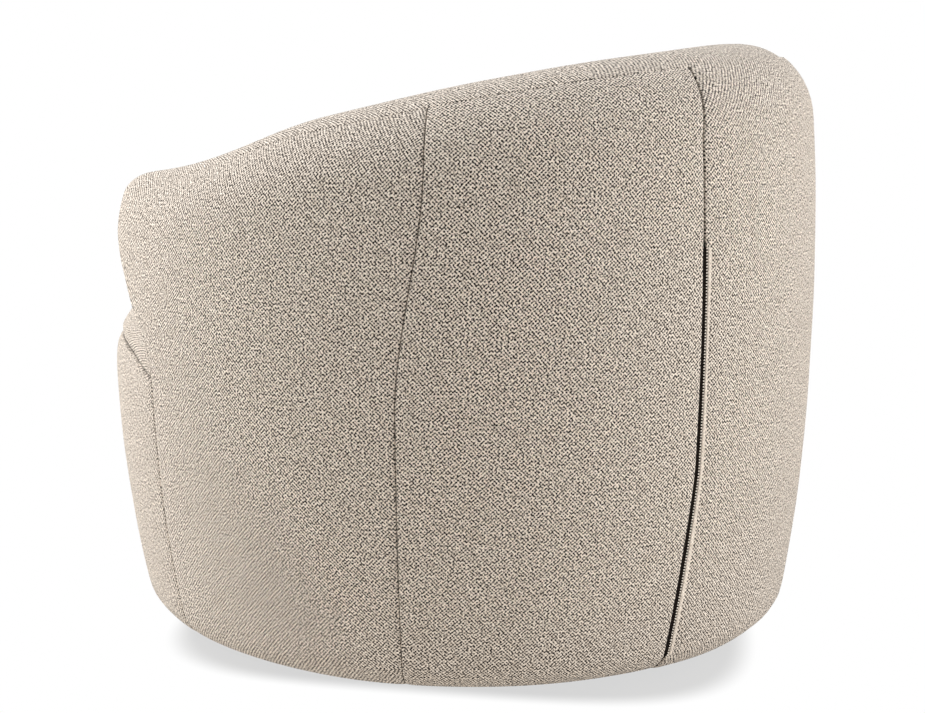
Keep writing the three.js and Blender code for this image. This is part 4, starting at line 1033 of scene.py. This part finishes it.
def cushion_cloth_map(piece):
    """Lays the cushion's cover flat: its top as seen from above and its front folded out."""
    mesh = piece.data
    points = points_of(mesh)
    radius = np.maximum(np.hypot(points[:, 0], points[:, 1]), 1)
    drop = np.maximum(CUSHION_CROWN - points[:, 2], 0)
    reach = (radius + drop) / radius
    flat = points[:, :2] * reach[:, None] * MM
    layer = mesh.uv_layers.new(name=CLOTH_MAP)
    corner = np.empty(len(mesh.loops), dtype=int)
    mesh.loops.foreach_get("vertex_index", corner)
    layer.data.foreach_set("uv", flat[corner].astype(np.float32).ravel())


def seat_cushion(look):
    """The seat cushion: a crowned closed form with a simulated filling."""
    piece = cushion_start(look)
    remesh = piece.modifiers.new("even", "REMESH")
    remesh.mode = "VOXEL"
    remesh.voxel_size = CUSHION_VOXEL * MM
    remesh.use_smooth_shade = True
    apply_modifiers(piece)
    points = points_of(piece.data)
    angle = np.degrees(np.arctan2(np.abs(points[:, 0]), points[:, 1]))
    open_top = np.clip((points[:, 2] - CUSHION_EDGE) / (CUSHION_CROWN - CUSHION_EDGE), 0, 1)
    most = SIDE_SWELL + (TOP_SWELL - SIDE_SWELL) * open_top**3
    swell(piece, points[:, 2] < CUSHION_TUCK, most)
    finer = piece.modifiers.new("smooth", "SUBSURF")
    finer.levels = finer.render_levels = 1
    apply_modifiers(piece)
    points = tuck_skirt(points_of(piece.data))
    piece.data.vertices.foreach_set("co", (points * MM).ravel())
    piece.data.shade_smooth()
    cushion_cloth_map(piece)
    dress(piece, finish(look, "tweed"), "seat", "tweed", "seat_cushion_cover", "seat_cushion_foam",
          "seat_deck_pad")


# Zips

# Sections across the zip: distances ahead of its middle and heights above the wall
TAPE = ((-5.6, -0.4), (-3.6, -0.6), (-2.9, -1.6), (-1.9, -3.2), (0, -3.6), (6, -3.6))
FACING = ((-4.9, -1.2), (-5.1, 0), (-5.6, 0.5), (-6.6, 0.7), (-9.5, 0.7), (-12, 0.5),
          (-13.5, 0.2), (-14.3, -0.5))  # the folded edge beside the coil
ZIP_POINTS = 160
COIL_PITCH = 3.2  # coarser than a real coil's, so that its teeth show
COIL = (0.95, 0.95, 0.75)  # half sizes of one tooth: across, up and out
TOOTH_TURNS = 8
TOOTH_RINGS = 5
COIL_SHIFT = -3.0  # towards the back panel's edge
COIL_DEPTH = -0.1


def zip_line(shift, depth):
    """Points down the zip, shifted sideways and set in by a depth."""
    r, z, _ = outer_line(ZIP_SEAM)
    heights = np.linspace(ZIP_FOOT - ZIP_TAPER, ZIP_TOP - ZIP_TAPER / 2, ZIP_POINTS)
    radius = np.interp(heights, z, r) - depth
    a = np.radians(ZIP_SEAM + seam_shift(ZIP_SEAM, heights)) + shift / radius
    return np.stack([radius * np.sin(a), radius * np.cos(a), heights], axis=-1)


def tooth_shape():
    """One tooth of the coil, as a small egg: its points and faces."""
    a = math.radians(ZIP_SEAM)
    across, up, out = (math.cos(a), -math.sin(a), 0), (0, 0, 1), (math.sin(a), math.cos(a), 0)
    turn, tilt = np.meshgrid(np.linspace(0, 2 * math.pi, TOOTH_TURNS + 1)[:-1],
                             np.linspace(-math.pi / 2, math.pi / 2, TOOTH_RINGS), indexing="ij")
    shares = np.stack([np.cos(tilt) * np.cos(turn), np.cos(tilt) * np.sin(turn), np.sin(tilt)],
                      axis=-1)
    axes = np.array([across, up, out]) * np.array(COIL)[:, None]
    return (shares @ axes).reshape(-1, 3), grid_faces(*turn.shape, closed=True)


def coil_mesh():
    """The row of teeth along the zip."""
    middle = zip_line(COIL_SHIFT, COIL_DEPTH)
    run = np.append(0, np.cumsum(np.linalg.norm(np.diff(middle, axis=0), axis=1)))
    places = np.arange(COIL_PITCH, run[-1], COIL_PITCH)
    centres = np.stack([np.interp(places, run, middle[:, k]) for k in range(3)], axis=-1)
    tooth, tooth_faces = tooth_shape()
    points = np.concatenate([tooth + centre for centre in centres])
    faces = np.concatenate([tooth_faces + i * len(tooth) for i in range(len(centres))])
    return points, faces


def zips(look):
    """The closed zips in the slots of the rear seams: tape, coil and the facing beside it."""
    tape = np.array([zip_line(x, -rise) for x, rise in TAPE])
    facing = np.array([zip_line(x, -rise) for x, rise in reversed(FACING)])
    coil, coil_faces = coil_mesh()
    for side, way in (("left", 1), ("right", -1)):
        turn = np.array([way, 1, 1])
        grid = tape if way > 0 else mirrored(tape)
        # The tape's near-black colour is partly painted shade in the slot
        piece = mesh_object(f"zip_tape_{side}", grid, grid_faces(*grid.shape[:2]))
        dress(piece, finish(look, "zip_tape"), "seat", "zip", f"zip_{side}")
        piece = mesh_object(f"zip_coil_{side}", coil * turn, coil_faces[:, ::way])
        dress(piece, finish(look, "zip"), "seat", "zip")
        grid = facing if way > 0 else mirrored(facing)
        piece = mesh_object(f"zip_facing_{side}", grid, grid_faces(*grid.shape[:2]),
                            cloth_map(grid, 0, (0, 0)))
        dress(piece, finish(look, "pressed_tweed"), "seat", "tweed")


# Frame, base and underside

FRAME_FINISHES = {
    "plywood": ("post_1", "post_2", "post_3", "post_4", "post_5", "post_6", "base_hoop",
                "seat_hoop", "top_plate", "front_rail", "mounting_board_left",
                "mounting_board_right"),
    "fibreboard": ("inside_board",),
    "webbing": ("seat_webbing",),
    "black_steel": ("base_bars",),
    "nylon": ("ball_cage",),
}
GLIDES = 4
BOLTS = 4
BALLS = 6
EDGE_WIDTH = 0.6  # how broadly a hard piece's edges are rounded
EDGE_SEGMENTS = 2
SHARP_ANGLE = 35.0
ARC_POINTS = 33

# Steps round each turned piece
RING_STEPS = 96
GLIDE_STEPS = 48
RIVET_STEPS = 48
BOLT_STEPS = 36
BALL_STEPS = 32

GLIDE_EDGE = 2.0
BALL_CIRCLE = 82.0  # radius of the circle that the balls run on
GROOVE_DEPTH = 1.5
GROOVE_HALF = 3.5
GROOVE_POINTS = 17
PIVOT_BORE = 9.8
RIVET_BORE = 6.0
RIVET_RADIUS = 9.5
RIVET_FLANGE = 2.2
BOLT_HEAD_HEIGHT = 3.0
BOLT_EDGE = 1.0
BOLT_SHANK_SHARE = 0.46

COVER_HOLE = 134.0  # radius of the black cloth's hole
COVER_INSET = 10.0  # how far its edge stands inside the foot
COVER_SAG = 0.25  # how deep its waves are, and how long
COVER_WAVE = 60.0
COVER_TURNS = 144
COVER_ROWS = 26


def soften(piece, width):
    """Rounds a hard piece's edges a little."""
    bevel = piece.modifiers.new("soften", "BEVEL")
    bevel.width = width * MM
    bevel.segments = EDGE_SEGMENTS
    bevel.limit_method = "ANGLE"
    bevel.harden_normals = True


def turned(name, profile, x=0, y=0, steps=RING_STEPS):
    """A piece turned round an upright axis from a closed profile of radii and heights, which runs
    outwards below, up outside and back inwards above."""
    a = np.linspace(0, 2 * math.pi, steps + 1)[:-1, None]
    r, z = np.array([*profile, profile[0]], dtype=float).T
    grid = np.stack([x + r * np.sin(a), y + r * np.cos(a), z + 0 * a], axis=-1)
    piece = mesh_object(name, grid, grid_faces(*grid.shape[:2], closed=True))
    piece.data.set_sharp_from_angle(angle=math.radians(SHARP_ANGLE))
    return piece


def extent(node):
    """Where a solid lies, in millimetres: its middle, its half sizes, its foot and its head."""
    low, high = (np.array(corner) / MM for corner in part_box(node))
    return (low + high) / 2, (high - low) / 2, low[2], high[2]


def round_profile(radius, centre_radius, height, start, end):
    """An arc of a circle, from straight below its centre at 0 degrees to straight above at 180."""
    a = np.radians(np.linspace(start, end, ARC_POINTS))
    return list(zip(centre_radius + radius * np.sin(a), height - radius * np.cos(a)))


def base_ring(look):
    """The ring that the glides hold off the floor, bent from round tube."""
    middle, half, _, _ = extent("base_ring")
    piece = turned("ring_tube", round_profile(half[2], half[0] - half[2], middle[2], 0, 360)[:-1])
    dress(piece, finish(look, "black_steel"), "base", "black_steel", "base_ring")


def glides(look):
    """The four glides: moulded discs with a domed edge."""
    for i in range(1, GLIDES + 1):
        middle, half, foot, head = extent(f"glide_{i}")
        edge = round_profile(GLIDE_EDGE, half[0] - GLIDE_EDGE, foot + GLIDE_EDGE, 0, 90)
        piece = turned(f"floor_glide_{i}", [(0, foot), *edge, (half[0], head), (0, head)],
                       middle[0], middle[1], GLIDE_STEPS)
        dress(piece, finish(look, "nylon"), "base", "nylon", f"glide_{i}")


def race_profile(node, face_up):
    """A race plate's profile: flat on one side, with a round groove on the other."""
    _, half, foot, head = extent(node)
    face = head if face_up else foot
    way = 1 if face_up else -1
    share = np.linspace(way, -way, GROOVE_POINTS)
    depth = GROOVE_DEPTH * (1 - share**2) * way
    groove = list(zip(BALL_CIRCLE + share * GROOVE_HALF, face - depth))
    if face_up:
        return [(PIVOT_BORE, foot), (half[0], foot), (half[0], head), *groove, (PIVOT_BORE, head)]
    return [(PIVOT_BORE, foot), *groove, (half[0], foot), (half[0], head), (PIVOT_BORE, head)]


def bearing(look):
    """The swivel bearing: two pressed race plates, a hollow rivet, bolts and balls."""
    zinc = finish(look, "zinc_steel")
    lower = turned("lower_race", race_profile("lower_race_plate", True))
    dress(lower, zinc, "base", "zinc_steel", "lower_race_plate")
    upper = turned("upper_race", race_profile("upper_race_plate", False))
    dress(upper, zinc, "seat", "zinc_steel", "upper_race_plate")
    _, half, foot, head = extent("pivot_rivet")
    low, high = foot + RIVET_FLANGE, head - RIVET_FLANGE
    rivet = turned("rivet", [(RIVET_BORE, foot), (half[0], foot), (half[0], low),
                             (RIVET_RADIUS, low), (RIVET_RADIUS, high), (half[0], high),
                             (half[0], head), (RIVET_BORE, head)], steps=RIVET_STEPS)
    dress(rivet, zinc, "base", "zinc_steel", "pivot_rivet")
    for i in range(1, BOLTS + 1):
        middle, half, foot, head = extent(f"plate_bolt_{i}")
        under, shank = foot + BOLT_HEAD_HEIGHT, half[0] * BOLT_SHANK_SHARE
        edge = round_profile(BOLT_EDGE, half[0] - BOLT_EDGE, foot + BOLT_EDGE, 0, 90)
        bolt = turned(f"bolt_{i}", [(0, foot), *edge, (half[0], under), (shank, under),
                                    (shank, head), (0, head)],
                      middle[0], middle[1], BOLT_STEPS)
        dress(bolt, zinc, "seat", "zinc_steel", f"plate_bolt_{i}")
    for i in range(1, BALLS + 1):
        middle, half, _, _ = extent(f"bearing_ball_{i}")
        ball = turned(f"ball_{i}", round_profile(half[2], 0, middle[2], 0, 180),
                      middle[0], middle[1], BALL_STEPS)
        dress(ball, finish(look, "ball_steel"), "bearing", "ball_steel", f"bearing_ball_{i}")


def frame_finishes(look):
    """The finishes of the solids that keep their own shapes."""
    for name, members in FRAME_FINISHES.items():
        for node in members:
            mesh = nodes[node].data
            mesh.materials.clear()
            mesh.materials.append(finish(look, name))
            soften(nodes[node], EDGE_WIDTH)


def dust_cover(look):
    """The thin black cloth stapled under the seat."""
    low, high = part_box("dust_cover")
    angles = np.radians(np.linspace(0, 360, COVER_TURNS + 1)[:-1])
    reach = outer_radius(np.degrees(np.where(angles > math.pi, 2 * math.pi - angles, angles)),
                         FLOOR_GAP) - COVER_INSET
    shares = np.linspace(0, 1, COVER_ROWS)
    r = COVER_HOLE + (reach[:, None] - COVER_HOLE) * shares
    level = (low.z + high.z) / 2 / MM
    grid = np.stack([r * np.sin(angles)[:, None], r * np.cos(angles)[:, None],
                     np.full(r.shape, level)], axis=-1)
    grid[..., 2] += COVER_SAG * undulation(grid, COVER_WAVE) * np.sin(shares * math.pi)
    piece = mesh_object("bottom_cloth", grid, grid_faces(*grid.shape[:2], closed=True))
    dress(piece, finish(look, "lining"), "seat", "lining", "dust_cover")


# Stage

# Lengths are in metres here, and the camera's angles in degrees
CAMERA_PLACE = (1.6348, 0.2883, 0.5939)
CAMERA_TURN = 99.9
CAMERA_DIP = 8.92
CAMERA_LENS = 48.376
SENSOR = 36.0
# The shadow near the chair is painted: a grey patch that only the eye sees, with the floor's own
# lit and shaded paint showing faintly through it
PAINTED_SHADOW_HALF = (0.327, 0.36)  # from the painted shadow's middle to its edge, sideways and ahead
PAINTED_SHADOW_BACK = 0.02  # how far back the painted shadow's middle is set
PAINTED_SHADOW_EDGE = (0.8, 1.24)  # where the painted shadow fades, as the fourth power of a share of its reach
PAINTED_SHADOW_DEPTH = 0.15  # how dark the paint shows through the painted shadow, as a share of its own colour
FLOOR_SIZE = 12.0
LIGHT_AIM = Vector((0, 0, 0.4))
FRONT_LIGHT = (0.6, -2.5, 1.9)
BACK_LIGHT = (0.4, 2.6, 1.3)
TOP_LIGHT = (0, 0, 2.8)
SIDE_LIGHT_SIZE = 2.2
TOP_LIGHT_SIZE = 3.0


def soft_light(name, place, size, power):
    """A large square light that faces the chair."""
    light = bpy.data.lights.new(name, "AREA")
    light.size = size
    light.energy = power
    made = bpy.data.objects.new(name, light)
    made.location = place
    made.rotation_euler = (LIGHT_AIM - Vector(place)).to_track_quat("-Z", "Y").to_euler()
    bpy.context.scene.collection.objects.link(made)


def seen_rays(tree):
    """1 for the rays that see the background, straight, mirrored or through glass, and 0 for
    light."""
    path = add_node(tree, "LightPath")
    seen = path.outputs["Is Camera Ray"]
    for ray in ("Is Glossy Ray", "Is Transmission Ray"):
        seen = add_node(tree, "Math", {0: seen, 1: path.outputs[ray]}, operation="MAXIMUM")
    return seen


def studio_floor(look):
    """Painted floor, matt and a warm white: near the chair it shows a painted pale shadow, a grey
    patch with its own shaded paint faint in it. It turns plain white further out, and is open from
    below."""
    material, tree = new_material("Painted studio floor")
    seen = seen_rays(tree)
    # Painted shade: to the eye the floor's paint is darkened
    shade = add_node(tree, "Mix", {"Factor": seen, "A": opaque(look.floor),
                                   "B": opaque(look.floor, PAINTED_SHADOW_DEPTH)}, data_type="RGBA")
    paint = add_node(tree, "BsdfDiffuse", {"Color": shade})
    white = add_node(tree, "Emission", {"Color": (1, 1, 1, 1), "Strength": 1})
    point = add_node(tree, "TexCoord").outputs["Object"]
    middle = add_node(tree, "VectorMath", {0: point, 1: (0, PAINTED_SHADOW_BACK, 0)},
                      operation="SUBTRACT")
    scaled = add_node(tree, "VectorMath", {0: middle, 1: (*PAINTED_SHADOW_HALF, 1)}, operation="DIVIDE")
    square = add_node(tree, "VectorMath", {0: scaled, 1: scaled}, operation="MULTIPLY")
    away = add_node(tree, "VectorMath", {0: square, 1: square}, operation="DOT_PRODUCT")
    away = away.outputs["Value"]
    near, far = PAINTED_SHADOW_EDGE
    # Painted shadow: grey inside the patch, fading to plain white at its edge
    edge = add_node(tree, "MapRange", {"Value": away, "From Min": near, "From Max": far,
                                       "To Min": look.painted_shadow_paleness, "To Max": 1},
                    interpolation_type="SMOOTHSTEP")
    share = add_node(tree, "Math", {0: seen, 1: edge}, operation="MULTIPLY")
    above = add_node(tree, "MixShader", {0: share, 1: paint, 2: white})
    below = add_node(tree, "BsdfTransparent")
    side = add_node(tree, "NewGeometry").outputs["Backfacing"]
    both = add_node(tree, "MixShader", {0: side, 1: above, 2: below})
    add_node(tree, "OutputMaterial", {"Surface": both})
    return material


def studio_world(look):
    """White to the eye, and a softer light all round."""
    world = bpy.data.worlds.new("studio")
    world.use_nodes = True
    tree = world.node_tree
    tree.nodes.clear()
    level = add_node(tree, "MapRange", {"Value": seen_rays(tree), "To Min": look.world_light,
                                        "To Max": 1})
    background = add_node(tree, "Background", {"Color": (1, 1, 1, 1), "Strength": level})
    add_node(tree, "OutputWorld", {"Surface": background})
    return world


def studio_camera():
    """The camera, placed as the photo's was."""
    camera = bpy.data.cameras.new("camera")
    camera.lens = CAMERA_LENS
    camera.sensor_width = SENSOR
    made = bpy.data.objects.new("camera", camera)
    a, dip = math.radians(CAMERA_TURN), math.radians(CAMERA_DIP)
    way = Vector((-math.sin(a) * math.cos(dip), math.cos(a) * math.cos(dip), -math.sin(dip)))
    made.location = CAMERA_PLACE
    made.rotation_euler = way.to_track_quat("-Z", "Y").to_euler()
    bpy.context.scene.collection.objects.link(made)
    return made


def stage(look):
    """Floor, lights, world and camera."""
    scene = bpy.context.scene
    scene.view_settings.view_transform = "Standard"
    corners = [(-FLOOR_SIZE, -FLOOR_SIZE, 0), (FLOOR_SIZE, -FLOOR_SIZE, 0),
               (FLOOR_SIZE, FLOOR_SIZE, 0), (-FLOOR_SIZE, FLOOR_SIZE, 0)]
    mesh = bpy.data.meshes.new("floor")
    mesh.from_pydata(corners, [], [(0, 1, 2, 3)])
    mesh.materials.append(studio_floor(look))
    floor = bpy.data.objects.new("floor", mesh)
    scene.collection.objects.link(floor)
    scene.world = studio_world(look)
    for name, place, power in (("light_front", FRONT_LIGHT, look.front_light),
                               ("light_back", BACK_LIGHT, look.back_light)):
        soft_light(name, place, SIDE_LIGHT_SIZE, power)
    soft_light("light_above", TOP_LIGHT, TOP_LIGHT_SIZE, look.top_light)
    scene.camera = studio_camera()


# Operators and panel

class CHAIR_OT_outer_covers(Operator):
    """Build the back and side panels"""

    bl_idname = "chair.outer_covers"
    bl_label = "Outer covers"

    def execute(self, context):
        outer_covers(context.scene.chair_look)
        return {"FINISHED"}


class CHAIR_OT_front_border(Operator):
    """Build the front below the cushion"""

    bl_idname = "chair.front_border"
    bl_label = "Front border"

    def execute(self, context):
        front_border(context.scene.chair_look)
        return {"FINISHED"}


class CHAIR_OT_inside_covers(Operator):
    """Build the covers over the rim and down the inside"""

    bl_idname = "chair.inside_covers"
    bl_label = "Inside covers"

    def execute(self, context):
        inside_covers(context.scene.chair_look)
        return {"FINISHED"}


class CHAIR_OT_arm_fronts(Operator):
    """Build the rounded fronts of the arms"""

    bl_idname = "chair.arm_fronts"
    bl_label = "Arm fronts"

    def execute(self, context):
        arm_fronts(context.scene.chair_look)
        return {"FINISHED"}


class CHAIR_OT_seat_cushion(Operator):
    """Build the seat cushion and fill it"""

    bl_idname = "chair.seat_cushion"
    bl_label = "Seat cushion"

    def execute(self, context):
        seat_cushion(context.scene.chair_look)
        return {"FINISHED"}


class CHAIR_OT_zips(Operator):
    """Build the zips in the rear seams"""

    bl_idname = "chair.zips"
    bl_label = "Zips"

    def execute(self, context):
        zips(context.scene.chair_look)
        return {"FINISHED"}


class CHAIR_OT_frame_finishes(Operator):
    """Give the frame, the seat straps and the boards their finishes"""

    bl_idname = "chair.frame_finishes"
    bl_label = "Frame"

    def execute(self, context):
        frame_finishes(context.scene.chair_look)
        return {"FINISHED"}


class CHAIR_OT_dust_cover(Operator):
    """Build the cloth under the seat"""

    bl_idname = "chair.dust_cover"
    bl_label = "Dust cover"

    def execute(self, context):
        dust_cover(context.scene.chair_look)
        return {"FINISHED"}


class CHAIR_OT_swivel_base(Operator):
    """Build the ring, the glides and the bearing"""

    bl_idname = "chair.swivel_base"
    bl_label = "Swivel base"

    def execute(self, context):
        base_ring(context.scene.chair_look)
        glides(context.scene.chair_look)
        bearing(context.scene.chair_look)
        return {"FINISHED"}


class CHAIR_OT_stage(Operator):
    """Build the floor, the lights and the camera"""

    bl_idname = "chair.stage"
    bl_label = "Stage"

    def execute(self, context):
        stage(context.scene.stage_look)
        return {"FINISHED"}


OPERATORS = [
    CHAIR_OT_outer_covers,
    CHAIR_OT_front_border,
    CHAIR_OT_inside_covers,
    CHAIR_OT_arm_fronts,
    CHAIR_OT_seat_cushion,
    CHAIR_OT_zips,
    CHAIR_OT_frame_finishes,
    CHAIR_OT_dust_cover,
    CHAIR_OT_swivel_base,
    CHAIR_OT_stage,
]


class CHAIR_PT_panel(Panel):
    """The chair's settings and the operators that build it."""

    bl_label = "Swivel barrel chair"
    bl_space_type = "VIEW_3D"
    bl_region_type = "UI"
    bl_category = "Chair"

    def draw(self, context):
        for look in (context.scene.chair_look, context.scene.stage_look):
            for name in look.__annotations__:
                self.layout.prop(look, name)
        for made in OPERATORS:
            self.layout.operator(made.bl_idname)


CLASSES = [ChairLook, StageLook, *OPERATORS, CHAIR_PT_panel]


def register():
    """Registers the classes and gives each scene its settings."""
    for made in CLASSES:
        bpy.utils.register_class(made)
    bpy.types.Scene.chair_look = PointerProperty(type=ChairLook)
    bpy.types.Scene.stage_look = PointerProperty(type=StageLook)


def unregister():
    """Takes the settings and the classes away again."""
    del bpy.types.Scene.stage_look
    del bpy.types.Scene.chair_look
    for made in reversed(CLASSES):
        bpy.utils.unregister_class(made)


def main():
    """Builds the chair and its stage."""
    register()
    for made in OPERATORS:
        getattr(bpy.ops.chair, made.bl_idname.split(".")[1])()


if __name__ == "__main__":
    main()
